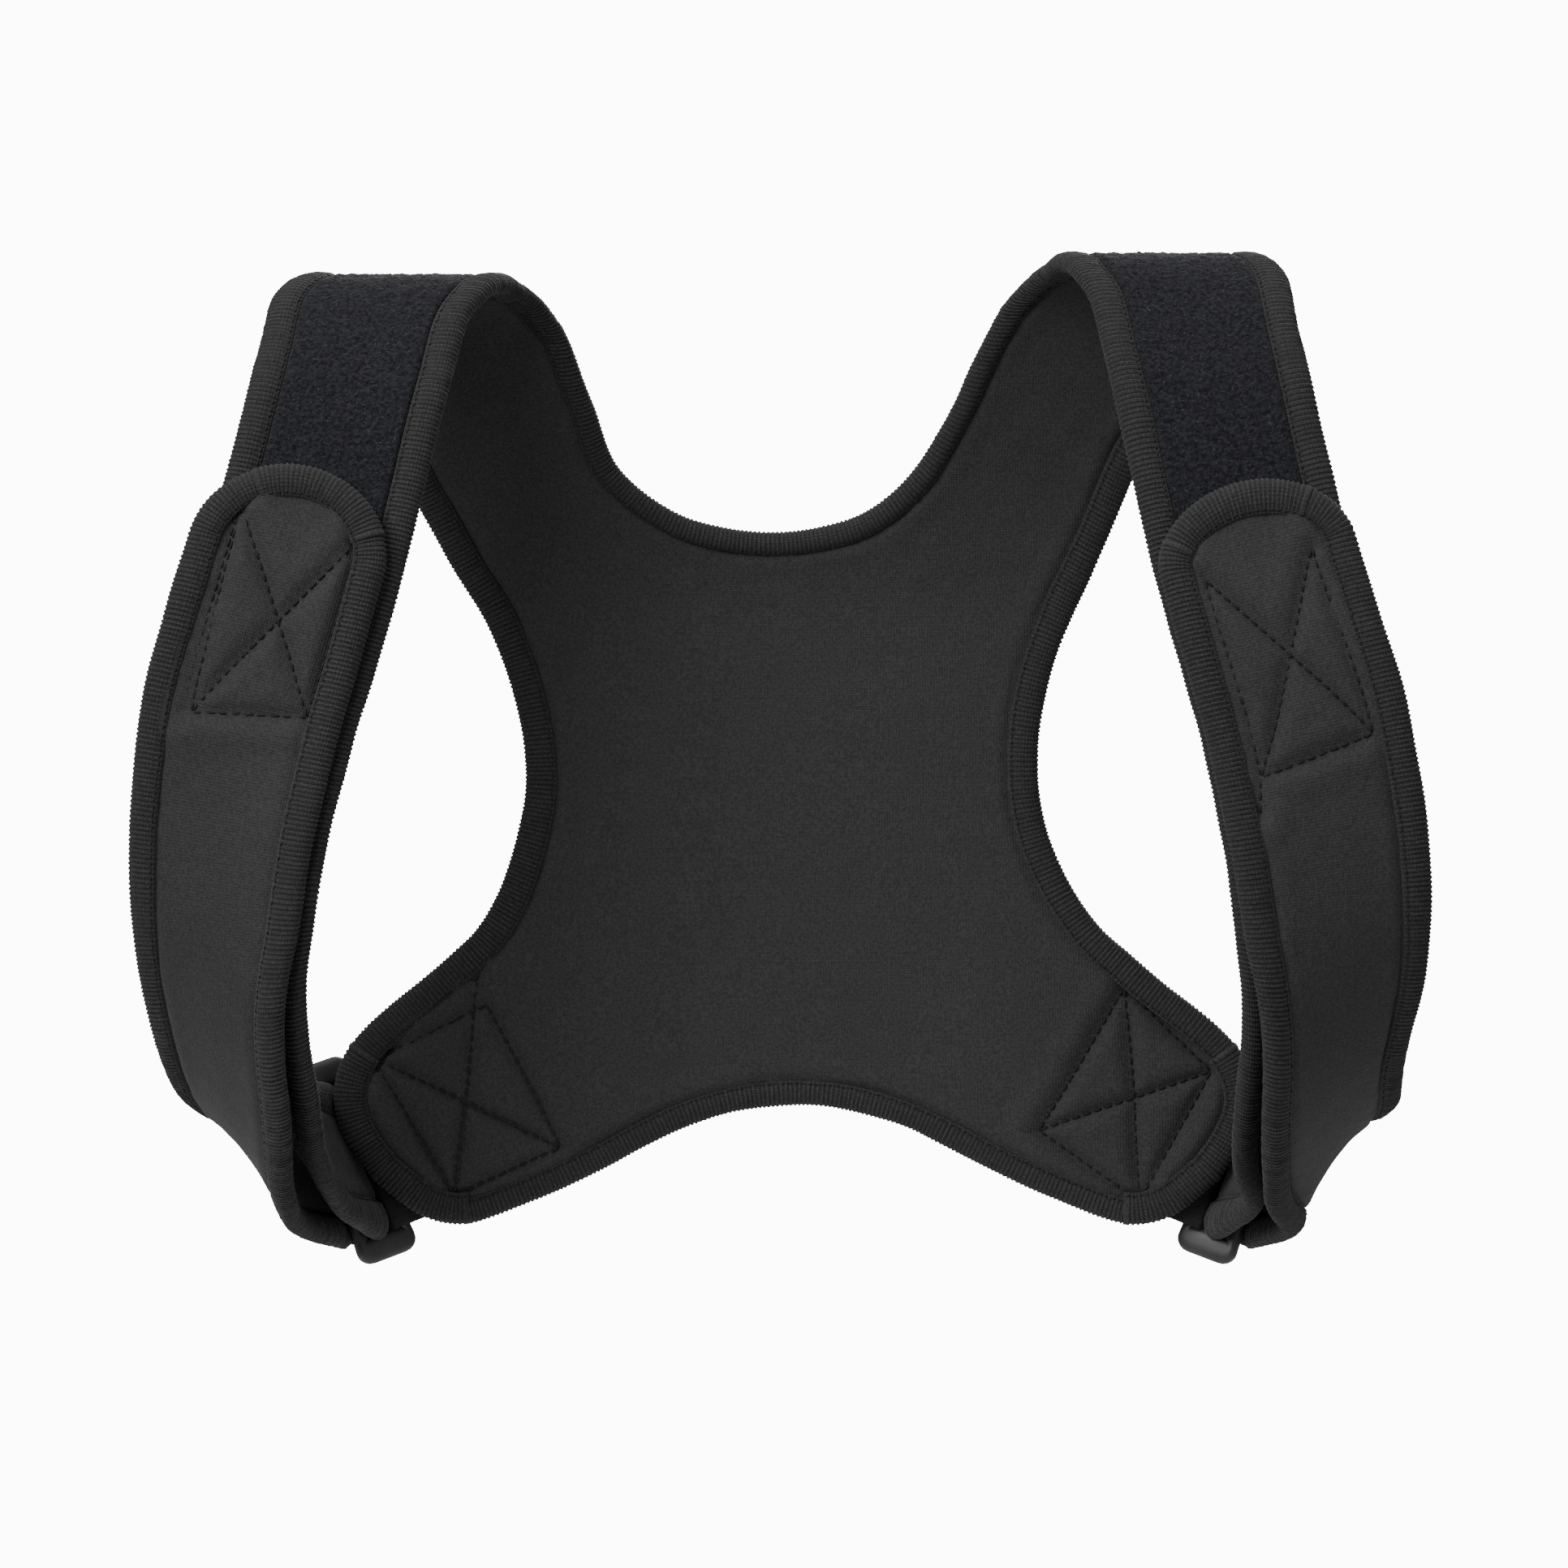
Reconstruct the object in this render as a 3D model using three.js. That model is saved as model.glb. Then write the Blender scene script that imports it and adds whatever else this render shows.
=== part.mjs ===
// Posture corrector, in the form it has when worn: an X-shaped neoprene back panel whose upper arms run
// into two straps. Each strap goes over the shoulder, down the front and back under the arm, turns round
// the outer bar of a ring, and lies on itself up to a rounded tongue. Webbing holds the ring's other bar.
// Millimetres. -Y is the wearer's front and +Z is up. The origin is on the wearer's side of the back
// panel, in its middle, halfway between the neckline and the hem.
import * as THREE from 'three';

// The worn form.
const REACH = 166; // middle plane to the strap's centre line at its widest
const DEPTH = 120; // back panel to the strap's centre line at the front
const RISE = 167; // origin to the crest over the shoulder
const HALF_HEIGHT = 93; // origin to the neckline, and to the hem, at the middle
const CREST_RADIUS = 28; // bend over the shoulder
const BEND_RADIUS = 120; // bend of the upper back
const BACK_LEAN = 30; // degrees that the arms lean forward below the crest
const SEAM_BACK = 10; // crest to the seam behind it, along the cloth
const WRAP = 7.5; // how far the panel's sides come forward round the body
const SWAY = 4.6; // sideways set of the worn form
const SHOULDER_LIFT = 6.5; // the right shoulder over the left

// The cloth.
const NEOPRENE = 3.5;
const FACING = 1.2; // loop fabric
const HOOK = 1.2; // hook tape
const TAPE = 1.2; // knit binding
const TAPE_WIDTH = 9.75; // shown on each face
const STRAP_WIDTH = 61; // with its bindings
const SQUEEZE = 0.83; // of the strap's width inside the ring
const GAP = 0.3; // between neighbouring pieces

// The ring and its webbing.
const BAR = 5;
const RING_LONG = 62;
const RING_SHORT = 20.5;
const RING_CORNER = 4; // on the bars' centre line
const RING_LEAN = 21; // degrees, upper end outwards
const RING_TILT = 4; // degrees, upper end backwards
const RING_BACK = 12; // back panel's middle layer to the inner bar
const WEB = 1.6;
const WEB_WIDTH = 50;
const BOX_LENGTH = 41; // webbing sewn on the lobe
const WEB_REACH = 35; // middle of the sewn box to the inner bar
const WEB_FALL = 25; // degrees that the webbing points down

const HALF_EDGE = NEOPRENE / 2 + GAP + TAPE;
const ON_NEOPRENE = NEOPRENE / 2 + GAP;
const LEG = TAPE_WIDTH - HALF_EDGE;
const TURN_RADIUS = BAR / 2 + GAP + HALF_EDGE;
const STACK = 2 * HALF_EDGE + GAP; // strap's middle layer to the tongue's
const STEP = 12.5; // between sections along the strap

const rad = THREE.MathUtils.degToRad;
const lerp = THREE.MathUtils.lerp;
const ease = THREE.MathUtils.smoothstep;
const vec = (x, y, z) => new THREE.Vector3(x, y, z);
const along = (p, q, t) => p.clone().lerp(q, t);
const moved = (p, d, k) => p.clone().addScaledVector(d, k);

// Outline of one half of the panel, bindings included, from the shoulder seam to the lobe's end: the edge
// towards the neck, the middle or the hem, then the armhole edge. Out is a share of REACH. Up is a share
// of HALF_HEIGHT measured along the cloth.
const PANEL_ROWS = [
  // in_out, in_up, arm_out, arm_up
  [0.481, 1.83, 0.878, 1.83],
  [0.443, 1.735, 0.857, 1.735],
  [0.408, 1.64, 0.834, 1.64],
  [0.36, 1.45, 0.786, 1.45],
  [0.322, 1.295, 0.732, 1.25],
  [0.289, 1.2, 0.676, 1.052],
  [0.235, 1.115, 0.625, 0.87],
  [0.166, 1.048, 0.578, 0.715],
  [0.084, 1.012, 0.546, 0.58],
  [0, 1, 0.523, 0.452],
  [0, 0.73, 0.507, 0.323],
  [0, 0.43, 0.501, 0.215],
  [0, 0.13, 0.501, 0.108],
  [0, -0.17, 0.51, 0],
  [0, -0.47, 0.53, -0.124],
  [0, -0.75, 0.563, -0.258],
  [0, -1, 0.608, -0.38],
  [0.102, -1.017, 0.66, -0.468],
  [0.205, -1.07, 0.719, -0.559],
  [0.289, -1.139, 0.78, -0.645],
  [0.367, -1.213, 0.828, -0.72],
  [0.452, -1.286, 0.863, -0.791],
  [0.53, -1.344, 0.886, -0.871],
  [0.593, -1.387, 0.895, -0.952],
  [0.643, -1.409, 0.891, -1.032],
  [0.69, -1.403, 0.875, -1.108],
  [0.732, -1.376, 0.851, -1.181],
  [0.765, -1.337, 0.819, -1.255],
];
const CREST_ROWS = 5; // rows over the bend of the shoulder
const NECK_ROW = 9; // first row that starts at the middle
const HEM_ROW = 16; // last row that starts at the middle
const CORNER_ROW = 21; // where the armhole binding ends
const LOBE_ROW = 24; // where the hem binding ends

// Centre line of the strap in front of the crest, down to the ring: shares of REACH, DEPTH and RISE, then
// the direction from its inner to its outer edge, and its width as a share of STRAP_WIDTH.
const STRAP_ROWS = [
  // out, front, up, across_x, across_y, across_z, wide
  [0.776, 0.775, 0.83, 0.99, 0, 0.08, 0.98],
  [0.793, 0.829, 0.751, 0.985, 0, 0.14, 0.97],
  [0.825, 0.892, 0.602, 0.98, 0, 0.2, 0.97],
  [0.86, 0.942, 0.455, 0.975, 0, 0.22, 0.98],
  [0.9, 0.975, 0.317, 0.975, 0.01, 0.22, 0.99],
  [0.937, 0.992, 0.192, 0.97, 0.05, 0.22, 1],
  [0.96, 1, 0.076, 0.97, 0.14, 0.17, 1],
  [0.978, 1, -0.034, 0.95, 0.25, 0.14, 1],
  [0.988, 0.979, -0.162, 0.92, 0.38, 0.08, 1],
  [0.986, 0.925, -0.281, 0.81, 0.58, 0.04, 1],
  [0.968, 0.808, -0.425, 0.68, 0.72, 0.1, 0.99],
  [0.948, 0.567, -0.545, 0.58, 0.7, 0.38, 0.94],
  [0.922, 0.29, -0.617, 0.43, 0.335, 0.81, 0.85],
];

// Sideways set of the back against height: share of RISE, then share of SWAY.
const SWAY_ROWS = [
  [-0.85, 0.9],
  [-0.55, 0.8],
  [-0.3, 0.48],
  [0, -0.09],
  [0.36, -0.41],
  [0.52, -0.78],
  [0.67, -1],
  [0.8, -0.5],
  [0.92, -0.17],
  [1, 0],
];
const FRONT_SWAY = -0.35; // share of SWAY at the front

// Room that the strap leaves between itself and the returning layer: share of the way from the ring to
// the crest, then share of TURN_RADIUS.
const BULGE_ROWS = [
  [0, 2],
  [0.06, 2.2],
  [0.12, 2.45],
  [0.2, 2.3],
  [0.3, 1.65],
  [0.42, 1.12],
];
const TONGUE_END = 0.68; // share of the strap's length that the returning layer covers
const TONGUE_ROUND = 25; // height of its rounded end
const TONGUE_SHIFT = { left: 5, right: 1 }; // outwards, at its end
const FACE_TURN = { left: 7, right: -5 }; // degrees that the front of the strap turns to the side

// Value of a two-column table at a place in its first column.
function table(rows, at) {
  if (at <= rows[0][0]) return rows[0][1];
  for (let i = 1; i < rows.length; i += 1) {
    const [from, low] = rows[i - 1];
    const [to, high] = rows[i];
    if (at <= to) return lerp(low, high, ease(at, from, to));
  }
  return rows[rows.length - 1][1];
}

// The back's side view: height and depth at a length s along the cloth, which is 0 at the origin's height.
const lean = rad(BACK_LEAN);
const bendStart = RISE * 0.36;
const bendTop = bendStart + BEND_RADIUS * Math.sin(lean);
const crestFoot = RISE - CREST_RADIUS * (1 - Math.sin(lean));
const straight = Math.max(1, (crestFoot - bendTop) / Math.cos(lean));
const crestStart = bendStart + BEND_RADIUS * lean + straight;
const crestS = crestStart + CREST_RADIUS * (Math.PI / 2 - lean);
const seamS = crestS - SEAM_BACK;
const bendFront = BEND_RADIUS * (1 - Math.cos(lean));
const crestY = -bendFront - straight * Math.sin(lean) - CREST_RADIUS * Math.cos(lean);

const seamAngle = Math.PI / 2 - SEAM_BACK / CREST_RADIUS;
const seamNormal = vec(0, Math.cos(seamAngle), Math.sin(seamAngle));

function sideView(s) {
  if (s <= bendStart) return [0, s];
  const turned = (s - bendStart) / BEND_RADIUS;
  if (turned <= lean) {
    return [-BEND_RADIUS * (1 - Math.cos(turned)), bendStart + BEND_RADIUS * Math.sin(turned)];
  }
  if (s <= crestStart) {
    const run = s - bendStart - BEND_RADIUS * lean;
    return [-bendFront - run * Math.sin(lean), bendTop + run * Math.cos(lean)];
  }
  const angle = lean + (s - crestStart) / CREST_RADIUS;
  const top = crestFoot - CREST_RADIUS * Math.sin(lean);
  return [crestY + CREST_RADIUS * Math.cos(angle), top + CREST_RADIUS * Math.sin(angle)];
}

// Point of the panel's middle layer.
function onPanel(out, s) {
  const [y, z] = sideView(s);
  const fade = 1 - ease(s, bendStart, crestStart);
  return vec(out, y - WRAP * fade * (out / REACH) ** 2 * 1.25, z);
}

// Takes a point of the plain right half to its side of the worn form.
function place(p, side) {
  const front = ease(-p.y / DEPTH, 0.35, 0.8);
  const sway = SWAY * lerp(table(SWAY_ROWS, p.z / RISE), FRONT_SWAY, front);
  const raised = ease(p.z, RISE * 0.45, RISE * 0.9) * ease(side * p.x, 0, REACH * 0.45);
  return vec(side * p.x + sway, p.y, p.z + SHOULDER_LIFT * raised);
}

// Closed solid from points and triangles, turned so that its faces point outwards.
function solid(points, faces) {
  let volume = 0;
  for (const [a, b, c] of faces) {
    volume += points[a].dot(points[b].clone().cross(points[c]));
  }
  const index = volume > 0 ? faces.flat() : faces.flatMap(([a, b, c]) => [a, c, b]);
  const geometry = new THREE.BufferGeometry().setFromPoints(points);
  geometry.setIndex(index);
  const shaded = geometry.toNonIndexed();
  shaded.computeVertexNormals();
  return shaded;
}

// Skin between rings of points: each ring joins the next, and the last one the first. The strips listed
// as crossed have their squares cut along the other diagonal.
function loft(rings, crossed = []) {
  const count = rings[0].length;
  const faces = [];
  for (let i = 0; i < rings.length; i += 1) {
    const a = i * count;
    const b = ((i + 1) % rings.length) * count;
    for (let j = 0; j < count; j += 1) {
      const k = (j + 1) % count;
      if (crossed.includes(j)) faces.push([a + j, b + j, a + k], [b + j, b + k, a + k]);
      else faces.push([a + j, b + j, b + k], [a + j, b + k, a + k]);
    }
  }
  return { points: rings.flat(), faces };
}

// Slab of cloth: rows of points on its middle layer with their normals, and its thickness.
function slab(rows, normals, thick) {
  const wide = rows[0].length;
  const under = rows.length * wide;
  const points = [];
  for (const half of [thick / 2, -thick / 2]) {
    rows.forEach((row, i) => row.forEach((p, j) => points.push(moved(p, normals[i][j], half))));
  }
  const faces = [];
  const quad = (a, b, c, d) => faces.push([a, b, c], [a, c, d]);
  for (let i = 0; i < rows.length - 1; i += 1) {
    const a = i * wide;
    for (let j = a; j < a + wide - 1; j += 1) {
      quad(j, j + wide, j + wide + 1, j + 1);
      quad(j + wide + 1 + under, j + wide + under, j + under, j + 1 + under);
    }
    quad(a, a + under, a + wide + under, a + wide);
    const b = a + wide - 1;
    quad(b, b + wide, b + wide + under, b + under);
  }
  const last = (rows.length - 1) * wide;
  for (let j = 0; j < wide - 1; j += 1) {
    quad(j, j + 1, j + 1 + under, j + under);
    quad(last + j, last + j + under, last + j + 1 + under, last + j + 1);
  }
  return { points, faces };
}

// Folded tape along the neoprene's cut edge. Each station holds the edge point, the direction out of the
// cloth and the cloth's normal. A direction that isn't square to the edge is longer by as much.
const TAPE_PROFILE = [
  // out of the edge, along the normal
  [-LEG, HALF_EDGE],
  [0.3 * HALF_EDGE, HALF_EDGE],
  [HALF_EDGE, 0.42 * HALF_EDGE],
  [HALF_EDGE, -0.42 * HALF_EDGE],
  [0.3 * HALF_EDGE, -HALF_EDGE],
  [-LEG, -HALF_EDGE],
  [-LEG, -ON_NEOPRENE],
  [GAP, -ON_NEOPRENE],
  [GAP, ON_NEOPRENE],
  [-LEG, ON_NEOPRENE],
];

function binding(stations, crossed) {
  const last = stations.length - 1;
  const rings = stations.map(([edge, out, normal], i) => {
    const run = stations[Math.min(last, i + 1)][0].clone().sub(stations[Math.max(0, i - 1)][0]);
    const trim = i === 0 ? GAP : i === last ? -GAP : 0;
    const start = moved(edge, run.normalize(), trim);
    return TAPE_PROFILE.map(([a, b]) => moved(moved(start, out, a), normal, b));
  });
  const made = loft(rings, crossed);
  const count = TAPE_PROFILE.length;
  const faces = made.faces.slice(0, (rings.length - 1) * count * 2);
  const cap = [[0, 1, 9], [1, 8, 9], [1, 2, 8], [2, 3, 8], [3, 7, 8], [3, 4, 7], [4, 5, 7], [5, 6, 7]];
  for (const [base, turn] of [[0, false], [(rings.length - 1) * count, true]]) {
    for (const [a, b, c] of cap) {
      faces.push(turn ? [base + a, base + c, base + b] : [base + a, base + b, base + c]);
    }
  }
  return { points: made.points, faces };
}

// The panel's cloth outline: the rows' ends brought in by the depth of the binding.
function clothRows() {
  const rows = PANEL_ROWS.map(([a, b, c, d]) => [
    new THREE.Vector2(a * REACH, heightOf(b)),
    new THREE.Vector2(c * REACH, heightOf(d)),
  ]);
  const loop = [...rows.map((r) => r[0]), ...rows.map((r) => r[1]).reverse()];
  const inset = loop.map((p, i) => {
    const seam = i === 0 || i === loop.length - 1;
    const before = i === 0 ? loop[0].clone().multiplyScalar(2).sub(loop[1]) : loop[i - 1];
    const next = loop[(i + 1) % loop.length];
    const after = i === loop.length - 1 ? p.clone().multiplyScalar(2).sub(loop[i - 1]) : next;
    const run = after.clone().sub(before).normalize();
    const inward = new THREE.Vector2(-run.y, run.x);
    if (seam) return p.clone().add(new THREE.Vector2(HALF_EDGE / inward.x, 0));
    return p.clone().addScaledVector(inward, HALF_EDGE);
  });
  return rows.map((row, i) => {
    const inner = inset[i];
    if (i >= NECK_ROW && i <= HEM_ROW) {
      inner.copy(row[0]);
      if (i === NECK_ROW) inner.y -= HALF_EDGE;
      if (i === HEM_ROW) inner.y += HALF_EDGE;
    }
    return [inner, inset[loop.length - 1 - i]];
  });
}

// A share of HALF_HEIGHT up the cloth; above the neckline it stretches so that the first row is the seam.
function heightOf(share) {
  const top = PANEL_ROWS[0][1];
  if (share <= 1) return share * HALF_HEIGHT;
  return lerp(HALF_HEIGHT, seamS - GAP / 2, (share - 1) / (top - 1));
}

const COLUMNS = 5;

// Middle layer of the panel's right half as rows of points, each row from its inner to its outer end.
const panelGrid = clothRows().map(([inner, outer]) => {
  const row = [];
  for (let j = 0; j <= COLUMNS; j += 1) {
    const p = inner.clone().lerp(outer, j / COLUMNS);
    row.push(onPanel(p.x, p.y));
  }
  return row;
});
const atMiddle = (i) => i >= NECK_ROW && i <= HEM_ROW;

// Normal of the panel's middle layer at a grid point, away from the wearer.
const panelNormals = panelGrid.map((row, i) =>
  row.map((p, j) => {
    if (i === 0) return seamNormal.clone();
    const above = panelGrid[Math.max(0, i - 1)][j];
    const below = panelGrid[Math.min(panelGrid.length - 1, i + 1)][j];
    const out = row[Math.min(COLUMNS, j + 1)].clone().sub(row[Math.max(0, j - 1)]);
    let down = below.clone().sub(above);
    if (j === 0 && atMiddle(i)) {
      if (i === NECK_ROW) down = below.clone().sub(p);
      if (i === HEM_ROW) down = p.clone().sub(above);
      out.set(1, 0, 0);
    }
    return out.cross(down).normalize();
  }),
);

function backPanel() {
  const points = [];
  const faces = [];
  const wide = COLUMNS + 1;
  for (const side of [1, -1]) {
    const base = points.length;
    for (const half of [NEOPRENE / 2, -NEOPRENE / 2]) {
      panelGrid.forEach((row, i) =>
        row.forEach((p, j) => points.push(place(moved(p, panelNormals[i][j], half), side))),
      );
    }
    const under = panelGrid.length * wide;
    const quad = (a, b, c, d) => {
      const faced = side > 0 ? [[a, b, c], [a, c, d]] : [[a, c, b], [a, d, c]];
      faces.push(...faced.map((f) => f.map((k) => k + base)));
    };
    for (let i = 0; i < panelGrid.length - 1; i += 1) {
      for (let j = 0; j < COLUMNS; j += 1) {
        const a = i * wide + j;
        quad(a, a + 1, a + wide + 1, a + wide);
        quad(a + under, a + wide + under, a + wide + 1 + under, a + 1 + under);
      }
      const edge = i * wide;
      if (!atMiddle(i) || i === HEM_ROW) quad(edge, edge + wide, edge + wide + under, edge + under);
      const far = edge + COLUMNS;
      quad(far, far + under, far + wide + under, far + wide);
    }
    for (let j = 0; j < COLUMNS; j += 1) {
      quad(j, j + under, j + 1 + under, j + 1);
      const end = (panelGrid.length - 1) * wide + j;
      quad(end, end + 1, end + 1 + under, end + under);
    }
  }
  return { points, faces };
}

// Direction out of the cloth, square to the edge's run or along the cloth's own rows.
function outOf(run, normal, rowOut, alongRow) {
  const square = run.clone().normalize().cross(normal).normalize();
  if (square.dot(rowOut) < 0) square.negate();
  const row = rowOut.clone().normalize();
  return alongRow ? row.divideScalar(row.dot(square)) : square;
}

// Stations of a binding along the panel's outline, from grid places [row, column].
function panelEdge(places) {
  const last = panelGrid.length - 1;
  return places.map(([i, j]) => {
    const p = panelGrid[i][j];
    const before = panelGrid[Math.max(0, i - 1)][j];
    const after = i < last ? panelGrid[i + 1][j] : panelGrid[last][COLUMNS - j];
    let rowOut = p.clone().sub(panelGrid[i][j === 0 ? 1 : COLUMNS - 1]);
    let run = after.clone().sub(before);
    if (j === 0 && i === NECK_ROW) rowOut = p.clone().sub(panelGrid[i + 1][0]);
    if (j === 0 && i === HEM_ROW) rowOut = p.clone().sub(panelGrid[i - 1][0]);
    if (j === 0 && (i === NECK_ROW || i === HEM_ROW)) run = vec(1, 0, 0);
    return [p, outOf(run, panelNormals[i][j], rowOut, i < CREST_ROWS), panelNormals[i][j]];
  });
}

function rowsBetween(from, to, column) {
  const step = from < to ? 1 : -1;
  const places = [];
  for (let i = from; i !== to + step; i += step) places.push([i, column]);
  return places;
}

function worn(made, side) {
  return { points: made.points.map((p) => place(p, side)), faces: made.faces };
}

// A binding that runs through the middle plane, from the left end to the right end.
function acrossMiddle(right) {
  const mirror = ([p, n, o]) => [vec(-p.x, p.y, p.z), vec(-n.x, n.y, n.z), vec(-o.x, o.y, o.z)];
  const left = right.slice(1).reverse().map(mirror);
  const made = binding([...left, ...right]);
  const middle = (made.points.length / TAPE_PROFILE.length - 1) / 2;
  const points = made.points.map((p, i) => {
    const onLeft = Math.floor(i / TAPE_PROFILE.length) < middle;
    return onLeft ? place(vec(-p.x, p.y, p.z), -1) : place(p, 1);
  });
  return { points, faces: made.faces };
}

function necklineBinding() {
  return acrossMiddle(panelEdge(rowsBetween(NECK_ROW, 0, 0)));
}

function hemBinding() {
  return acrossMiddle(panelEdge(rowsBetween(HEM_ROW, LOBE_ROW, 0)));
}

function armholeBinding(side) {
  return worn(binding(panelEdge(rowsBetween(0, CORNER_ROW, COLUMNS))), side);
}

function lobeBinding(side) {
  const last = PANEL_ROWS.length - 1;
  const places = [...rowsBetween(CORNER_ROW, last, COLUMNS), ...rowsBetween(last, LOBE_ROW, 0)];
  return worn(binding(panelEdge(places)), side);
}

// The ring's place. Its long direction runs up and outwards, its short one from the inner bar outwards.
const boxMiddle = new THREE.Vector2(0.636 * REACH, -1.01 * HALF_HEIGHT);
const webAlong = new THREE.Vector2(Math.cos(rad(WEB_FALL)), -Math.sin(rad(WEB_FALL)));
const webAcross = new THREE.Vector2(-webAlong.y, webAlong.x);
const ringLong = vec(
  Math.sin(rad(RING_LEAN)) * Math.cos(rad(RING_TILT)),
  Math.sin(rad(RING_TILT)),
  Math.cos(rad(RING_LEAN)) * Math.cos(rad(RING_TILT)),
);
const ringShort = vec(0.88, -0.475, 0);
ringShort.addScaledVector(ringLong, -ringShort.dot(ringLong)).normalize();
const barSpacing = RING_SHORT - BAR;
const barPoint = boxMiddle.clone().addScaledVector(webAlong, WEB_REACH);
const innerBar = onPanel(barPoint.x, barPoint.y).add(vec(0, RING_BACK, 0));
const outerBar = moved(innerBar, ringShort, barSpacing);

function ring(side) {
  const middle = along(innerBar, outerBar, 0.5);
  const halfLong = (RING_LONG - BAR) / 2;
  const halfShort = barSpacing / 2;
  const path = [];
  for (const [a, b, start] of [[1, 1, 0], [-1, 1, 90], [-1, -1, 180], [1, -1, 270]]) {
    for (const turn of [0, 30, 60, 90]) {
      const angle = rad(start + turn);
      const x = a * (halfShort - RING_CORNER) + RING_CORNER * Math.cos(angle);
      const z = b * (halfLong - RING_CORNER) + RING_CORNER * Math.sin(angle);
      path.push([moved(moved(middle, ringShort, x), ringLong, z), angle]);
    }
  }
  const face = ringLong.clone().cross(ringShort);
  const rings = path.map(([p, angle]) => {
    const out = moved(ringShort.clone().multiplyScalar(Math.cos(angle)), ringLong, Math.sin(angle));
    const section = [];
    for (let k = 0; k < 8; k += 1) {
      const turn = rad(22.5 + 45 * k);
      const radius = BAR / 2 / Math.cos(rad(22.5));
      section.push(moved(moved(p, out, radius * Math.cos(turn)), face, radius * Math.sin(turn)));
    }
    return section;
  });
  return worn(loft(rings), side);
}

// Rows of the strap's centre line: point, direction to the outer edge, width.
function strapRows(sideName) {
  const rows = [];
  const start = ((PANEL_ROWS[0][0] + PANEL_ROWS[0][2]) / 2) * REACH;
  const slope = 0.35; // outwards per length along the cloth
  for (const run of [GAP / 2, SEAM_BACK, SEAM_BACK + CREST_RADIUS * 0.46, SEAM_BACK + CREST_RADIUS * 0.92]) {
    const [y, z] = sideView(seamS + run);
    rows.push([vec(start + slope * run, y, z), vec(1, 0, 0), STRAP_WIDTH]);
  }
  for (const [out, front, up, x, y, z, wide] of STRAP_ROWS) {
    const centre = vec(out * REACH, -front * DEPTH, up * RISE);
    const share = ease(up, -0.6, -0.15) * (1 - ease(up, 0, 0.4));
    const across = vec(x, y, z).normalize().applyAxisAngle(vec(0, 0, 1), rad(FACE_TURN[sideName]) * share);
    rows.push([centre, across, wide * STRAP_WIDTH]);
  }
  const run = outerBar.clone().sub(rows[rows.length - 1][0]).normalize();
  const normal = run.cross(ringLong).normalize();
  rows.push([moved(outerBar, normal, -TURN_RADIUS), ringLong.clone(), STRAP_WIDTH * SQUEEZE]);
  return rows;
}

// Stations spaced evenly along a smooth curve through the rows' centres.
function evenly(rows, step) {
  const centre = new THREE.CatmullRomCurve3(rows.map((r) => r[0]), false, 'centripetal');
  const across = new THREE.CatmullRomCurve3(rows.map((r) => r[1]), false, 'catmullrom', 0.5);
  const width = new THREE.CatmullRomCurve3(rows.map((r) => vec(r[2], 0, 0)), false, 'catmullrom', 0.5);
  centre.arcLengthDivisions = 400;
  const count = Math.max(8, Math.round(centre.getLength() / step));
  const made = [];
  for (let i = 0; i <= count; i += 1) {
    const t = centre.getUtoTmapping(i / count);
    const run = centre.getTangent(t).normalize();
    made.push(station(centre.getPoint(t), run, across.getPoint(t).normalize(), width.getPoint(t).x));
  }
  return made;
}

// A cross section of the strap: its middle, the directions along it, to its outer edge and out of its
// face, and its width. stretch is how much longer its row is than its width, where the row isn't square.
function station(centre, run, across, width) {
  const normal = run.clone().cross(across);
  const stretch = 1 / normal.length();
  return { centre, run, across, width, stretch, normal: normal.normalize() };
}

// Point across a station: side -1 or 1, inset from that edge of the neoprene, height over its middle.
function at(place, side, inset, height) {
  const half = (place.width / 2 - HALF_EDGE - inset) * place.stretch;
  return moved(moved(place.centre, place.across, side * half), place.normal, height);
}

// The strap from the seam to the ring, round the ring's outer bar, and back up to the tongue.
function strap(sideName) {
  const lower = evenly(strapRows(sideName), STEP);
  lower[0].normal.copy(seamNormal);
  const end = lower[lower.length - 1];
  const onward = end.normal.clone().cross(end.across).normalize();
  if (onward.dot(end.run) < 0) onward.negate();
  const turn = [30, 60, 90, 120, 150].map((degrees) => {
    const angle = rad(degrees);
    const out = end.normal.clone().multiplyScalar(-Math.cos(angle));
    out.addScaledVector(onward, Math.sin(angle));
    const centre = moved(moved(end.centre, end.normal, TURN_RADIUS), out, TURN_RADIUS);
    return { ...end, centre, normal: out.negate(), stretch: 1 };
  });
  const total = lower.length - 1;
  const count = Math.round(total * TONGUE_END);
  const centres = [];
  for (let i = 0; i <= count; i += 1) {
    const under = lower[total - i];
    const room = Math.max(TURN_RADIUS * table(BULGE_ROWS, i / total), STACK);
    const shift = TONGUE_SHIFT[sideName] * ease(i / count, 0.5, 1);
    centres.push(moved(moved(under.centre, under.normal, room), under.across, shift));
  }
  const upper = centres.map((centre, i) => {
    const run = centres[Math.min(count, i + 1)].clone().sub(centres[Math.max(0, i - 1)]).normalize();
    const under = lower[total - i];
    return station(centre, run, under.across, under.width);
  });
  upper[0].normal.copy(end.normal).negate();
  return { lower, turn, upper };
}

// The tongue's rounded end: narrowing stations beyond the last one.
function roundedEnd(upper) {
  const last = upper[upper.length - 1];
  const cover = TONGUE_ROUND - HALF_EDGE;
  const cloth = last.width - 2 * HALF_EDGE;
  return [0.3, 0.55, 0.76, 0.92].map((share) => {
    const width = cloth * Math.sqrt(1 - share * share) + 2 * HALF_EDGE;
    return { ...last, centre: moved(last.centre, last.run, cover * share), width };
  });
}

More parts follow.
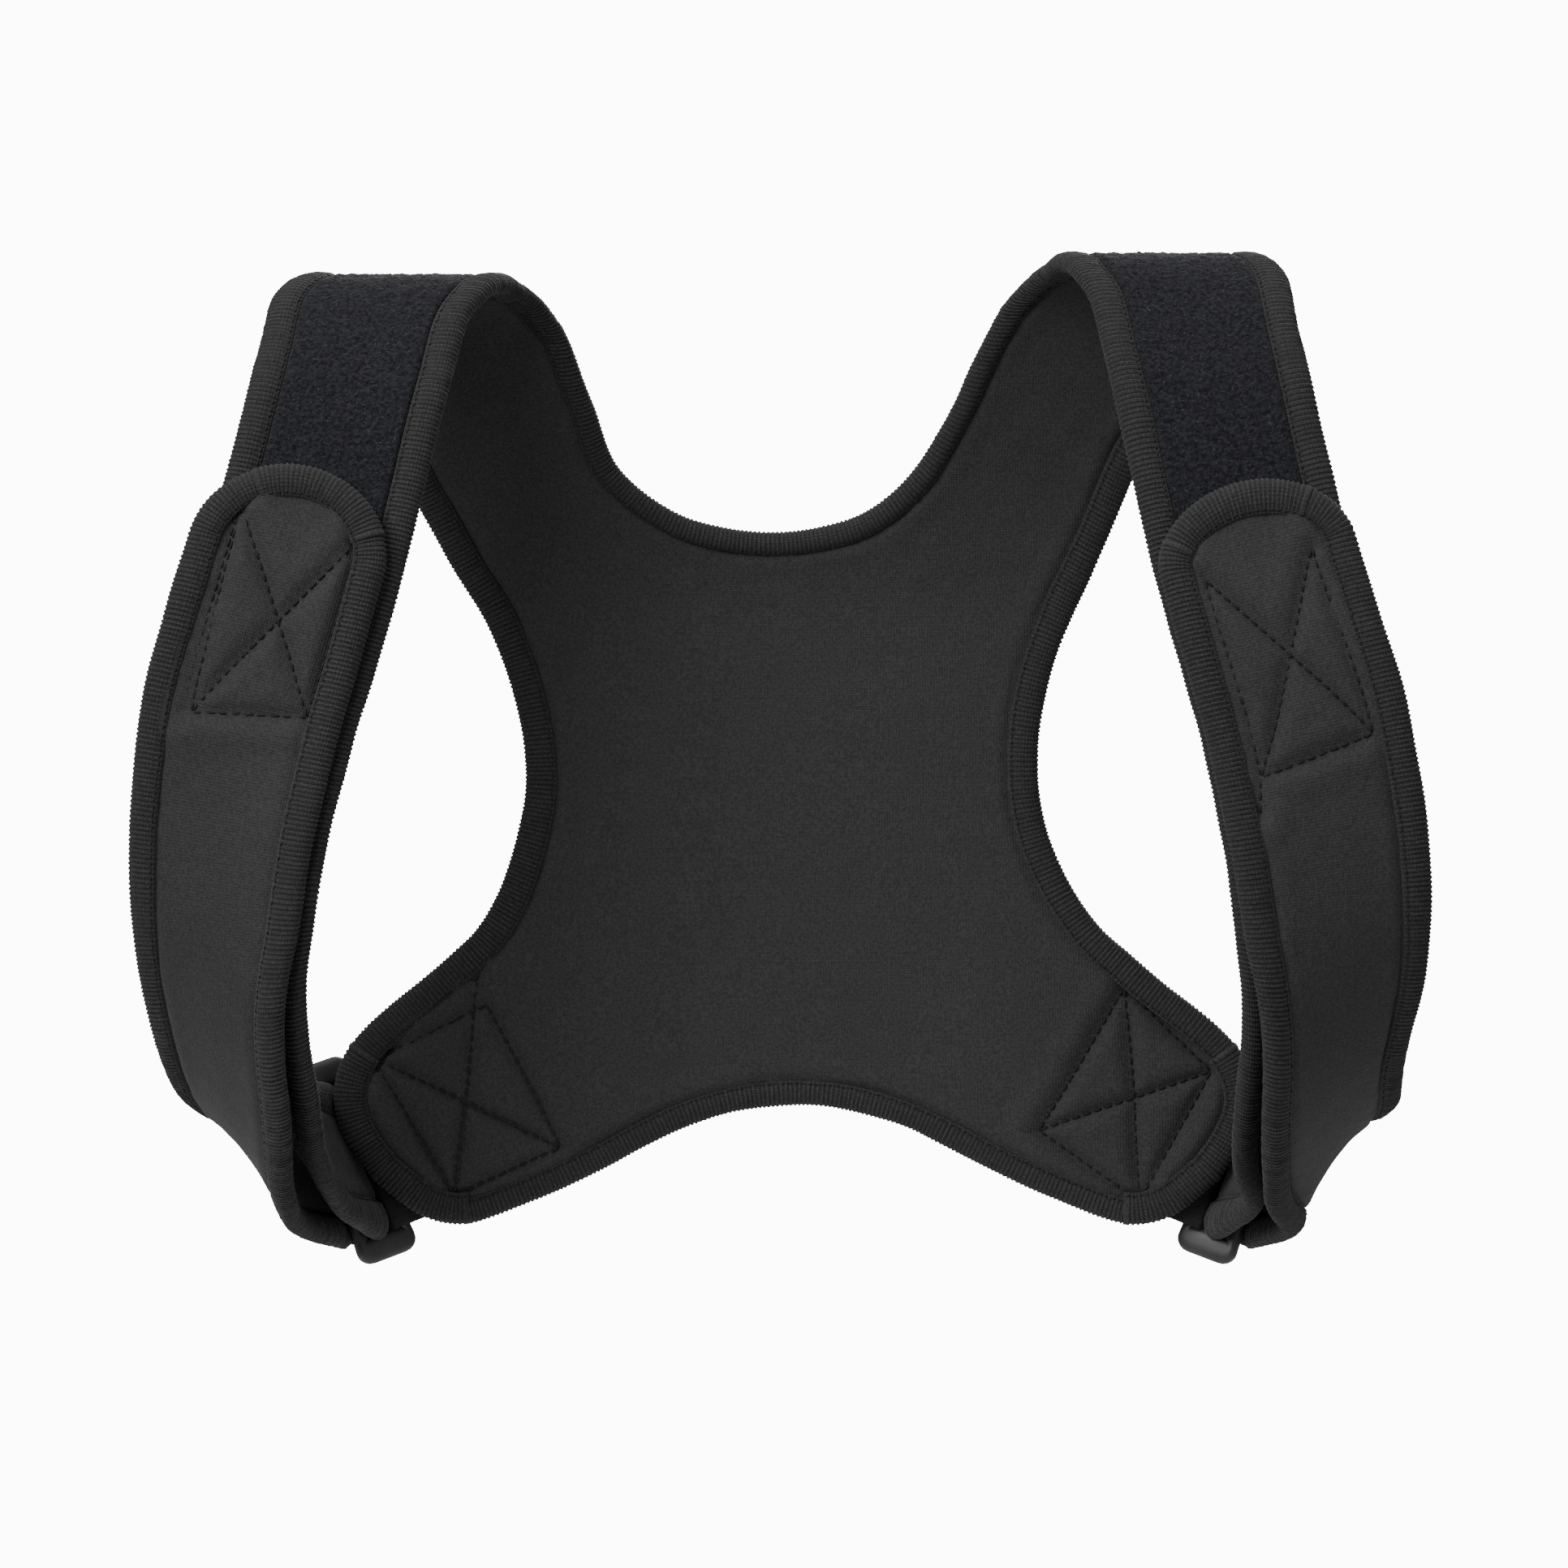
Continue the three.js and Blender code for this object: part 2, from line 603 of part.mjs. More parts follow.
// A layer of cloth on the stations, from one inset to the other, at a height over the middle layer.
function layer(stations, insets, height, thick) {
  const rows = stations.map((place) => [
    ...insets.map((inset) => at(place, -1, inset, height)),
    ...[...insets].reverse().map((inset) => at(place, 1, inset, height)),
  ]);
  return slab(rows, stations.map(({ normal }) => new Array(insets.length * 2).fill(normal)), thick);
}

function strapSolids(sideName, side) {
  const { lower, turn, upper } = strap(sideName);
  const end = roundedEnd(upper);
  const mouth = LEG + GAP;
  const ends = end.map((place) => ({ ...place, mouth: Math.min(mouth, place.width / 5) }));
  const body = [...lower, ...turn, ...upper];
  const rows = [...body, ...ends].map((place) => {
    const inset = place.mouth ?? mouth;
    return [at(place, -1, 0, 0), at(place, -1, inset, 0), at(place, 1, inset, 0), at(place, 1, 0, 0)];
  });
  const normals = [...body, ...ends].map(({ normal }) => new Array(4).fill(normal));
  const made = { shoulder_strap: slab(rows, normals, NEOPRENE) };
  made.loop_facing = layer(lower.slice(0, -2), [mouth], ON_NEOPRENE + FACING / 2, FACING);
  made.hook_patch = layer(upper.slice(-7), [mouth], ON_NEOPRENE + HOOK / 2, HOOK);
  for (const [name, sign, crossed] of [['strap_inner_binding', -1, [6]], ['strap_outer_binding', 1, [8]]]) {
    made[name] = binding(
      body.map((place) => [
        at(place, sign, 0, 0),
        place.across.clone().multiplyScalar(sign * place.stretch),
        place.normal,
      ]),
      crossed,
    );
  }
  const corner = upper[upper.length - 1];
  const upEdge = [corner, ...end];
  const rim = [...upEdge.map((place) => [place, -1]), ...[...upEdge].reverse().map((place) => [place, 1])];
  made.tongue_binding = binding(
    rim.map(([place, sign], i) => {
      const [before, to] = [rim[Math.max(0, i - 1)], rim[Math.min(rim.length - 1, i + 1)]];
      const run = at(to[0], to[1], 0, 0).sub(at(before[0], before[1], 0, 0));
      const hint = place.across.clone().multiplyScalar(sign).addScaledVector(place.run, 0.8);
      const atCorner = i === 0 || i === rim.length - 1;
      const out = atCorner
        ? place.across.clone().multiplyScalar(sign * place.stretch)
        : outOf(run, place.normal, hint, false);
      return [at(place, sign, 0, 0), out, place.normal];
    }),
  );
  return Object.fromEntries(Object.entries(made).map(([name, m]) => [name, worn(m, side)]));
}

// The webbing: flat behind the lobe, round the ring's inner bar and back over itself.
const WEB_ROWS = [
  // share of the way from the sewn box's inner end to the bar, share of the rise from box to bar
  [0, 0],
  [0.3, 0],
  [0.5, 0.35],
  [0.72, 0.85],
];

function webbing(side) {
  const hug = BAR / 2 + GAP + WEB / 2 + 0.15;
  const sewn = HALF_EDGE + GAP + WEB / 2;
  const start = boxMiddle.clone().addScaledVector(webAlong, -BOX_LENGTH / 2);
  const length = BOX_LENGTH / 2 + WEB_REACH;
  const outward = vec(webAlong.x, 0, webAlong.y);
  outward.addScaledVector(ringLong, -outward.dot(ringLong)).normalize();
  const behind = outward.clone().cross(ringLong).normalize();
  if (behind.y < 0) behind.negate();
  const places = [-1, 0, 1].map((wide) => (wide * WEB_WIDTH) / 2);
  const rowAt = (run, rise, back) =>
    places.map((wide) => {
      const flat = start.clone().addScaledVector(webAlong, run * length).addScaledVector(webAcross, wide);
      const onLobe = onPanel(flat.x, flat.y).add(vec(0, sewn + back, 0));
      const bar = moved(moved(innerBar, ringLong, wide), behind, back - hug);
      const ahead = moved(bar, outward, (run - 1) * length);
      return along(onLobe, ahead, ease(run, 0.3, 1)).setY(lerp(onLobe.y, bar.y, rise));
    });
  const rows = WEB_ROWS.map(([run, rise]) => rowAt(run, rise, 0));
  for (const degrees of [-90, -60, -30, 0, 30, 60, 90]) {
    const out = outward.clone().multiplyScalar(hug * Math.cos(rad(degrees)));
    out.addScaledVector(behind, hug * Math.sin(rad(degrees)));
    rows.push(places.map((wide) => moved(innerBar, ringLong, wide).add(out)));
  }
  for (const [run, rise] of [...WEB_ROWS].reverse()) {
    rows.push(rowAt(run, rise, lerp(WEB + GAP, 2 * hug, rise)));
  }
  const normals = rows.map((row, i) => {
    const before = rows[Math.max(0, i - 1)];
    const after = rows[Math.min(rows.length - 1, i + 1)];
    const wide = row[2].clone().sub(row[0]);
    return row.map((p, j) => after[j].clone().sub(before[j]).cross(wide).normalize());
  });
  return worn(slab(rows, normals, WEB), side);
}

const neopreneLook = { color: 0x2b2b2d, roughness: 0.85, metalness: 0 };
const tapeLook = { color: 0x242426, roughness: 0.95, metalness: 0 };
const loopLook = { color: 0x1f1f26, roughness: 1, metalness: 0 };
const webLook = { color: 0x1c1c1e, roughness: 0.9, metalness: 0 };
const plasticLook = { color: 0x0e0e0f, roughness: 0.3, metalness: 0 };

const group = new THREE.Group();
group.name = 'posture_corrector';

function add(name, made, look) {
  const mesh = new THREE.Mesh(solid(made.points, made.faces), new THREE.MeshStandardMaterial(look));
  mesh.name = name;
  group.add(mesh);
}

add('back_panel', backPanel(), neopreneLook);
add('neckline_binding', necklineBinding(), tapeLook);
add('hem_binding', hemBinding(), tapeLook);
for (const [sideName, side] of [['left', -1], ['right', 1]]) {
  add(`armhole_binding_${sideName}`, armholeBinding(side), tapeLook);
  add(`lobe_binding_${sideName}`, lobeBinding(side), tapeLook);
  const looks = { shoulder_strap: neopreneLook, loop_facing: loopLook, hook_patch: loopLook };
  for (const [name, made] of Object.entries(strapSolids(sideName, side))) {
    add(`${name}_${sideName}`, made, looks[name] ?? tapeLook);
  }
  add(`ring_${sideName}`, ring(side), plasticLook);
  add(`webbing_${sideName}`, webbing(side), webLook);
}

export default group;
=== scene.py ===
"""Posture corrector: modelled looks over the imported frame. Shapes are worked out in millimetres."""
import math

import bpy
import numpy as np
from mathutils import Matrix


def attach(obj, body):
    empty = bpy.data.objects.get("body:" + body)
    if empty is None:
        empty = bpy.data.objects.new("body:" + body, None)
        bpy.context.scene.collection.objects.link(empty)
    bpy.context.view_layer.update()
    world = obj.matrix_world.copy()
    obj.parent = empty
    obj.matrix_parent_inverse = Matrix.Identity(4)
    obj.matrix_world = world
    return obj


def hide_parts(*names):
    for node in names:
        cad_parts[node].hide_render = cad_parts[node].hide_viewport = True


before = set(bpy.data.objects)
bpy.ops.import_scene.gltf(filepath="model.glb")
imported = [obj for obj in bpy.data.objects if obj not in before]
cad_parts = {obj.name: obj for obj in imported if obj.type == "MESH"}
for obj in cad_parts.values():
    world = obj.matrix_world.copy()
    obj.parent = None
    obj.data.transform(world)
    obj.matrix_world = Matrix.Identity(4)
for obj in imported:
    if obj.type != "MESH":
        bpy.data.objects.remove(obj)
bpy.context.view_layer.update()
rng = np.random.default_rng(7)
MM = 0.001

# The worn form, as in the solids, in millimetres and radians.
REACH, DEPTH, RISE, HALF_HEIGHT = 166.0, 120.0, 167.0, 93.0
CREST_RADIUS, BEND_RADIUS, LEAN = 28.0, 120.0, math.radians(30)
SEAM_BACK, WRAP, SWAY, SHOULDER_LIFT = 10.0, 9.375, 4.6, 6.5
NEOPRENE, FACING, TAPE, TAPE_WIDTH, STRAP_WIDTH = 3.5, 1.2, 1.2, 9.75, 61.0
SQUEEZE, GAP, STATION_STEP = 0.83, 0.3, 12.5
BAR, RING_LONG, RING_SHORT, RING_CORNER = 5.0, 62.0, 20.5, 4.0
RING_LEAN, RING_TILT, RING_BACK = math.radians(21), math.radians(4), 12.0
WEB, WEB_WIDTH, BOX_LENGTH, WEB_FALL, WEB_REACH = 1.6, 50.0, 41.0, math.radians(25), 35.0
ON_NEOPRENE = NEOPRENE / 2 + GAP
HALF_EDGE = ON_NEOPRENE + TAPE
LEG = TAPE_WIDTH - HALF_EDGE
NECK_LEG, HEM_LEG = 0.58 * LEG, 0.72 * LEG
TURN_RADIUS = BAR / 2 + GAP + HALF_EDGE
STACK = 2 * HALF_EDGE + GAP

# Outline of half the panel: inner edge out and up, armhole edge out and up. Out is a share of REACH, and up
# one of HALF_HEIGHT as far as 1, then it goes on to the seam on the crest.
PANEL_ROWS = np.array([
    [0.481, 1.83, 0.878, 1.83], [0.443, 1.735, 0.857, 1.735], [0.408, 1.64, 0.834, 1.64],
    [0.36, 1.45, 0.786, 1.45], [0.322, 1.295, 0.732, 1.25], [0.289, 1.2, 0.676, 1.052],
    [0.235, 1.115, 0.625, 0.87], [0.166, 1.048, 0.578, 0.715], [0.084, 1.012, 0.546, 0.58],
    [0, 1, 0.523, 0.452], [0, 0.73, 0.507, 0.323], [0, 0.43, 0.501, 0.215], [0, 0.13, 0.501, 0.108],
    [0, -0.17, 0.51, 0], [0, -0.47, 0.53, -0.124], [0, -0.75, 0.563, -0.258], [0, -1, 0.608, -0.38],
    [0.102, -1.017, 0.66, -0.468], [0.205, -1.07, 0.719, -0.559], [0.289, -1.139, 0.78, -0.645],
    [0.367, -1.213, 0.828, -0.72], [0.452, -1.286, 0.863, -0.791], [0.53, -1.344, 0.886, -0.871],
    [0.593, -1.387, 0.895, -0.952], [0.643, -1.409, 0.891, -1.032], [0.69, -1.403, 0.875, -1.108],
    [0.732, -1.376, 0.851, -1.181], [0.765, -1.337, 0.819, -1.255],
])
NECK_ROW, HEM_ROW, CORNER_ROW, LOBE_ROW, LAST_ROW = 9, 16, 21, 24, len(PANEL_ROWS) - 1

# Middle line of the strap: out, front and up as shares of REACH, DEPTH and RISE, the direction to its outer
# edge, and the share of its width. The rows over the crest are runs from the seam, as shares of its radius.
STRAP_ROWS = [
    [0.776, 0.775, 0.83, 0.99, 0, 0.08, 0.98], [0.793, 0.829, 0.751, 0.985, 0, 0.14, 0.97],
    [0.825, 0.892, 0.602, 0.98, 0, 0.2, 0.97], [0.86, 0.942, 0.455, 0.975, 0, 0.22, 0.98],
    [0.9, 0.975, 0.317, 0.975, 0.01, 0.22, 0.99], [0.937, 0.992, 0.192, 0.97, 0.05, 0.22, 1],
    [0.96, 1, 0.076, 0.97, 0.14, 0.17, 1], [0.978, 1, -0.034, 0.95, 0.25, 0.14, 1],
    [0.988, 0.979, -0.162, 0.92, 0.38, 0.08, 1], [0.986, 0.925, -0.281, 0.81, 0.58, 0.04, 1],
    [0.968, 0.808, -0.425, 0.68, 0.72, 0.1, 0.99], [0.948, 0.567, -0.545, 0.58, 0.7, 0.38, 0.94],
    [0.922, 0.29, -0.617, 0.43, 0.335, 0.81, 0.85],
]
CREST_RUNS, CREST_DRIFT = (0.46, 0.92), 0.35

# Sway sideways against height, and room between the strap's two layers against the way from the ring.
SWAY_ROWS = [[-0.85, 0.9], [-0.55, 0.8], [-0.3, 0.48], [0, -0.09], [0.36, -0.41], [0.52, -0.78],
             [0.67, -1], [0.8, -0.5], [0.92, -0.17], [1, 0]]
FRONT_SWAY = -0.35
BULGE_ROWS = [[0, 2], [0.06, 2.2], [0.12, 2.45], [0.2, 2.3], [0.3, 1.65], [0.42, 1.12]]

# What differs from side to side. JOINTS is where the tongue's own tape starts and ends on its arc.
SIDES = {"left": -1, "right": 1}
TONGUE_END, TONGUE_ROUND = 0.68, 25.0
TONGUE_RISE = {"left": 1.15, "right": 0.88}
TONGUE_SHIFT = {"left": 5.0, "right": 1.0}
FACE_TURN = {"left": math.radians(7), "right": math.radians(-5)}
JOINTS = {"left": (0.13, 0.66), "right": (0.13, 0.73)}

# Sewn boxes: lines from corner to corner, then the corners from A on. The lobe's corners are shares of REACH
# and HALF_HEIGHT, the tongue's are millimetres from its tip and from its middle line.
LOBE_BOX = {
    "left": ("AB BC CD DE AC FD", (0.815, -0.835), (0.594, -0.648), (0.459, -1.144), (0.666, -1.311),
             (0.815, -0.85), (0.611, -0.552)),
    "right": ("AB BC CD DA AC BD", (0.809, -0.875), (0.649, -0.585), (0.474, -1.084), (0.668, -1.33)),
}
TONGUE_BOX = {
    "left": ("AB BC CD AC DB EF", (13, 17), (77, 14.5), (71, -20), (15, -20), (16, 17.5), (79, 17)),
    "right": ("AB BC CD AC DB BE", (21.7, -17.3), (84, -17), (77.4, 18.5), (19.5, 16), (95, -19.5)),
}
BOX_END = 150  # from the tip, past all the tongue's stitches
FRONT, BACK = -1, 1  # the face that the photograph shows, and the one behind it
LOBE_GROOVE, TONGUE_GROOVE, PUFF = {FRONT: 1.35, BACK: 0.7}, {FRONT: 1.15, BACK: 0.5}, 0.9
STITCH_PITCH, STITCH_LENGTH, STITCH_RADIUS = 3.5, 2.95, 0.4
STITCH_DEPTH = {FRONT: 1.15, BACK: 0.6}
SEAM_PITCH, SEAM_LENGTH, SEAM_RADIUS, SEAM_ZIGZAG = 2.25, 1.8, 0.33, 0.25

# Fineness of the meshes, in millimetres or counts.
GRID_STEP, PANEL_COLUMNS = 1.8, 54
STRAP_STEP, STRAP_COLUMNS = 1.6, 36
LOOP_STEP, LOOP_COLUMNS, FIBRES = 1.1, 42, 5000
WEB_COLUMNS = 45
NO_TRIS = np.zeros((0, 3), int)


def vec(*a):
    return np.array(a, float)


def unit(v):
    return v / np.maximum(np.linalg.norm(v, axis=-1, keepdims=True), 1e-9)


def lerp(a, b, t):
    return a + (b - a) * t


def ease(x, a, b):
    t = np.clip((np.asarray(x, float) - a) / (b - a), 0, 1)
    return t * t * (3 - 2 * t)


def hill(x, middle, width):
    """Bell curve that is 1 at the middle."""
    return np.exp(-(((x - middle) / width) ** 2))


def table(rows, at):
    """Value from rows of a place and a value, eased from row to row."""
    xs, ys = np.array(rows, float).T
    i = np.clip(np.searchsorted(xs, at), 1, len(xs) - 1)
    return lerp(ys[i - 1], ys[i], ease(at, xs[i - 1], xs[i]))


def smooth(points, t, first=None, last=None):
    """Smooth curve through points at the places t, where whole numbers are the points."""
    first = 2 * points[0] - points[1] if first is None else first
    last = 2 * points[-1] - points[-2] if last is None else last
    p = np.concatenate([[first], points, [last]])
    i = np.clip(t.astype(int), 0, len(points) - 2)
    f = (t - i).reshape(-1, *[1] * (p.ndim - 1))
    a, b, c, d = p[i], p[i + 1], p[i + 2], p[i + 3]
    return 0.5 * (2 * b + (c - a) * f + (2 * a - 5 * b + 4 * c - d) * f**2 + (3 * b - a - 3 * c + d) * f**3)


def centripetal(p, t):
    """Smooth curve like the one above that doesn't loop where the points are uneven."""
    q = np.vstack([2 * p[0] - p[1], p, 2 * p[-1] - p[-2]])
    i = np.clip(t.astype(int), 0, len(p) - 2)
    f = (t - i)[:, None]
    a, b, c, d = q[i], q[i + 1], q[i + 2], q[i + 3]
    d0, d1, d2 = (np.sqrt(np.linalg.norm(m - n, axis=1))[:, None] for m, n in [(b, a), (c, b), (d, c)])
    t1 = ((b - a) / d0 - (c - a) / (d0 + d1) + (c - b) / d1) * d1
    t2 = ((c - b) / d1 - (d - b) / (d1 + d2) + (d - c) / d2) * d1
    return b + t1 * f + (-3 * b + 3 * c - 2 * t1 - t2) * f**2 + (2 * b - 2 * c + t1 + t2) * f**3


def arc(points):
    """Length along the line as far as each point."""
    return np.concatenate([[0], np.cumsum(np.linalg.norm(np.diff(points, axis=0), axis=1))])


def even_places(points, count):
    """Places along the line, in whole numbers a point, that cut it into even lengths."""
    s = arc(points)
    return np.interp(np.linspace(0, s[-1], count), s, np.arange(len(s)))


def along(points, s, at):
    return np.stack([np.interp(at, s, points[:, k]) for k in range(3)], -1)


def waves(u, v, size, seed):
    """Soft uneven field from about -1 to 1 over two lengths, with features of about that size."""
    pick = np.random.default_rng(seed)
    total = 0
    for _ in range(7):
        turn, phase = pick.uniform(0, math.pi), pick.uniform(0, math.tau)
        scale = math.tau / (size * pick.uniform(0.7, 1.8))
        total = total + np.sin((u * math.cos(turn) + v * math.sin(turn)) * scale + phase)
    return total / 4


# The panel in side view: upright, then a bend, a straight run and the crest.
BEND_START = RISE * 0.36
BEND_TOP = BEND_START + BEND_RADIUS * math.sin(LEAN)
CREST_FOOT = RISE - CREST_RADIUS * (1 - math.sin(LEAN))
STRAIGHT = (CREST_FOOT - BEND_TOP) / math.cos(LEAN)
CREST_START = BEND_START + BEND_RADIUS * LEAN + STRAIGHT
SEAM_S = CREST_START + CREST_RADIUS * (math.pi / 2 - LEAN) - SEAM_BACK
BEND_FRONT = BEND_RADIUS * (1 - math.cos(LEAN))
CREST_Y = -BEND_FRONT - STRAIGHT * math.sin(LEAN) - CREST_RADIUS * math.cos(LEAN)
SEAM_ANGLE = math.pi / 2 - SEAM_BACK / CREST_RADIUS
SEAM_NORMAL = vec(0, math.cos(SEAM_ANGLE), math.sin(SEAM_ANGLE))


def side_view(s):
    s = np.asarray(s, float)
    turned = (s - BEND_START) / BEND_RADIUS
    run = s - BEND_START - BEND_RADIUS * LEAN
    angle = LEAN + (s - CREST_START) / CREST_RADIUS
    where = [s <= BEND_START, turned <= LEAN, s <= CREST_START]
    top = CREST_FOOT - CREST_RADIUS * math.sin(LEAN)
    y = np.select(where, [0 * s, -BEND_RADIUS * (1 - np.cos(turned)), -BEND_FRONT - run * math.sin(LEAN)],
                  CREST_Y + CREST_RADIUS * np.cos(angle))
    z = np.select(where, [s, BEND_START + BEND_RADIUS * np.sin(turned), BEND_TOP + run * math.cos(LEAN)],
                  top + CREST_RADIUS * np.sin(angle))
    return y, z


def on_panel(out, s):
    """Place on the panel's middle layer, which curves forward round the back."""
    y, z = side_view(s)
    fade = 1 - ease(s, BEND_START, CREST_START)
    return np.stack([out + 0 * z, y - WRAP * fade * (out / REACH) ** 2, z], -1)


def place(p, side):
    """Where a point of the plain half comes in the worn form of one side."""
    x, y, z = p[..., 0], p[..., 1], p[..., 2]
    front = ease(-y / DEPTH, 0.35, 0.8)
    sway = SWAY * lerp(table(SWAY_ROWS, z / RISE), FRONT_SWAY, front)
    raised = ease(z, RISE * 0.45, RISE * 0.9) * ease(side * x, 0, REACH * 0.45)
    return np.stack([side * x + sway, y, z + SHOULDER_LIFT * raised], -1)


def height_of(share):
    beyond = (share - 1) / (PANEL_ROWS[0, 1] - 1)
    return np.where(share <= 1, share * HALF_HEIGHT, lerp(HALF_HEIGHT, SEAM_S - GAP / 2, beyond))


def cloth_rows():
    """Edges of the cloth, which lie as far inside the outline as the folded tape is thick."""
    inner, outer = (np.stack([PANEL_ROWS[:, k] * REACH, height_of(PANEL_ROWS[:, k + 1])], -1) for k in (0, 2))
    loop = np.vstack([inner, outer[::-1]])
    longer = np.vstack([2 * loop[0] - loop[1], loop, 2 * loop[-1] - loop[-2]])
    run = unit(longer[2:] - longer[:-2])
    inward = np.stack([-run[:, 1], run[:, 0]], -1)
    made = loop + inward * HALF_EDGE
    for end in (0, -1):
        made[end] = loop[end] + vec(HALF_EDGE / inward[end, 0], 0)
    made_inner = made[:len(inner)]
    made_inner[NECK_ROW:HEM_ROW + 1] = inner[NECK_ROW:HEM_ROW + 1]
    made_inner[NECK_ROW, 1] -= HALF_EDGE
    made_inner[HEM_ROW, 1] += HALF_EDGE
    return made_inner, made[len(inner):][::-1]


def fine_panel():
    """Row numbers and flat places of the panel's grid: rows from neck or middle to armhole."""
    t = [0.0]
    for i in range(LAST_ROW):
        far = max(np.linalg.norm(rows[i + 1] - rows[i]) for rows in (inner_row, outer_row))
        n = max(2, math.ceil(far / GRID_STEP))
        t += [i + k / n for k in range(1, n + 1)]
    t = np.array(t)
    mirror = vec(-1, 1)
    parts = [(t < NECK_ROW, 0, NECK_ROW, None, inner_row[NECK_ROW - 1] * mirror),
             ((t >= NECK_ROW) & (t < HEM_ROW), NECK_ROW, HEM_ROW, None, None),
             (t >= HEM_ROW, HEM_ROW, LAST_ROW, inner_row[HEM_ROW + 1] * mirror, None)]
    inner = np.vstack([smooth(inner_row[lo:hi + 1], t[inside] - lo, first, last)
                       for inside, lo, hi, first, last in parts])
    inner[(t >= NECK_ROW) & (t <= HEM_ROW), 0] = 0
    share = np.linspace(0, 1, PANEL_COLUMNS + 1)[None, :, None]
    return t, lerp(inner[:, None], smooth(outer_row, t)[:, None], share)


def grid_normals(p):
    return unit(np.cross(np.gradient(p, axis=1), np.gradient(p, axis=0)))


inner_row, outer_row = cloth_rows()
row_t, flat_grid = fine_panel()
middle_rows = (row_t >= NECK_ROW) & (row_t <= HEM_ROW)
panel_mid = on_panel(flat_grid[..., 0], flat_grid[..., 1])
panel_normal = grid_normals(panel_mid)
panel_normal[0] = SEAM_NORMAL
panel_normal[middle_rows, 0, 0] = 0
panel_normal = unit(panel_normal)

# The ring's two bars and the webbing's directions.
box_middle = vec(0.636 * REACH, -1.01 * HALF_HEIGHT)
web_along = vec(math.cos(WEB_FALL), -math.sin(WEB_FALL))
web_across = vec(-web_along[1], web_along[0])
ring_long = vec(math.sin(RING_LEAN) * math.cos(RING_TILT), math.sin(RING_TILT),
                math.cos(RING_LEAN) * math.cos(RING_TILT))
ring_short = vec(0.88, -0.475, 0)
ring_short = unit(ring_short - ring_long * ring_short.dot(ring_long))
ring_face = np.cross(ring_long, ring_short)
inner_bar = on_panel(*(box_middle + web_along * WEB_REACH)) + vec(0, RING_BACK, 0)
outer_bar = inner_bar + ring_short * (RING_SHORT - BAR)


class Band:
    """Stations along a strap: centre, direction to the outer edge, width, run, stretch and normal."""

    def __init__(self, centre, across, width, normal=None):
        self.centre, self.across, self.width = centre, across, width
        self.run = unit(np.gradient(centre, axis=0))
        raw = np.cross(self.run, across)
        self.stretch = 1 / np.linalg.norm(raw, axis=1) if normal is None else np.ones(len(centre))
        self.normal = unit(raw) if normal is None else normal

    def half(self):
        """Half the width of the cloth inside its tapes' folds."""
        return self.width / 2 - HALF_EDGE

    def at(self, w, h):
        """Points at w from the middle, as a share of the cloth's half width, h over the middle layer."""
        out = self.half() * self.stretch * w
        return self.centre + self.across * out[:, None] + self.normal * (h + 0 * out)[:, None]


def remade(change, *bands):
    """A band with every field made by change from the same field of the bands."""
    made = Band.__new__(Band)
    for key in vars(bands[0]):
        setattr(made, key, change(*(vars(band)[key] for band in bands)))
    return made


def cut(band, which):
    return remade(lambda field: field[which], band)


def joined(*bands):
    return remade(lambda *fields: np.concatenate(fields), *bands)


def strap_rows(name):
    """Rows of a place, a direction to the outer edge and a width, from the seam to the ring."""
    rows = []
    start = (PANEL_ROWS[0, 0] + PANEL_ROWS[0, 2]) / 2 * REACH
    for run in [GAP / 2, SEAM_BACK] + [SEAM_BACK + CREST_RADIUS * share for share in CREST_RUNS]:
        y, z = side_view(SEAM_S + run)
        rows.append([vec(start + CREST_DRIFT * run, y, z), vec(1, 0, 0), STRAP_WIDTH])
    for out, front, up, x, y, z, wide in STRAP_ROWS:
        a = FACE_TURN[name] * ease(up, -0.6, -0.15) * (1 - ease(up, 0, 0.4))
        q = unit(vec(x, y, z))
        q = vec(q[0] * math.cos(a) - q[1] * math.sin(a), q[0] * math.sin(a) + q[1] * math.cos(a), q[2])
        rows.append([vec(out * REACH, -front * DEPTH, up * RISE), q, wide * STRAP_WIDTH])
    normal = unit(np.cross(unit(outer_bar - rows[-1][0]), ring_long))
    rows.append([outer_bar - normal * TURN_RADIUS, ring_long, STRAP_WIDTH * SQUEEZE])
    return [np.array([row[k] for row in rows]) for k in range(3)]


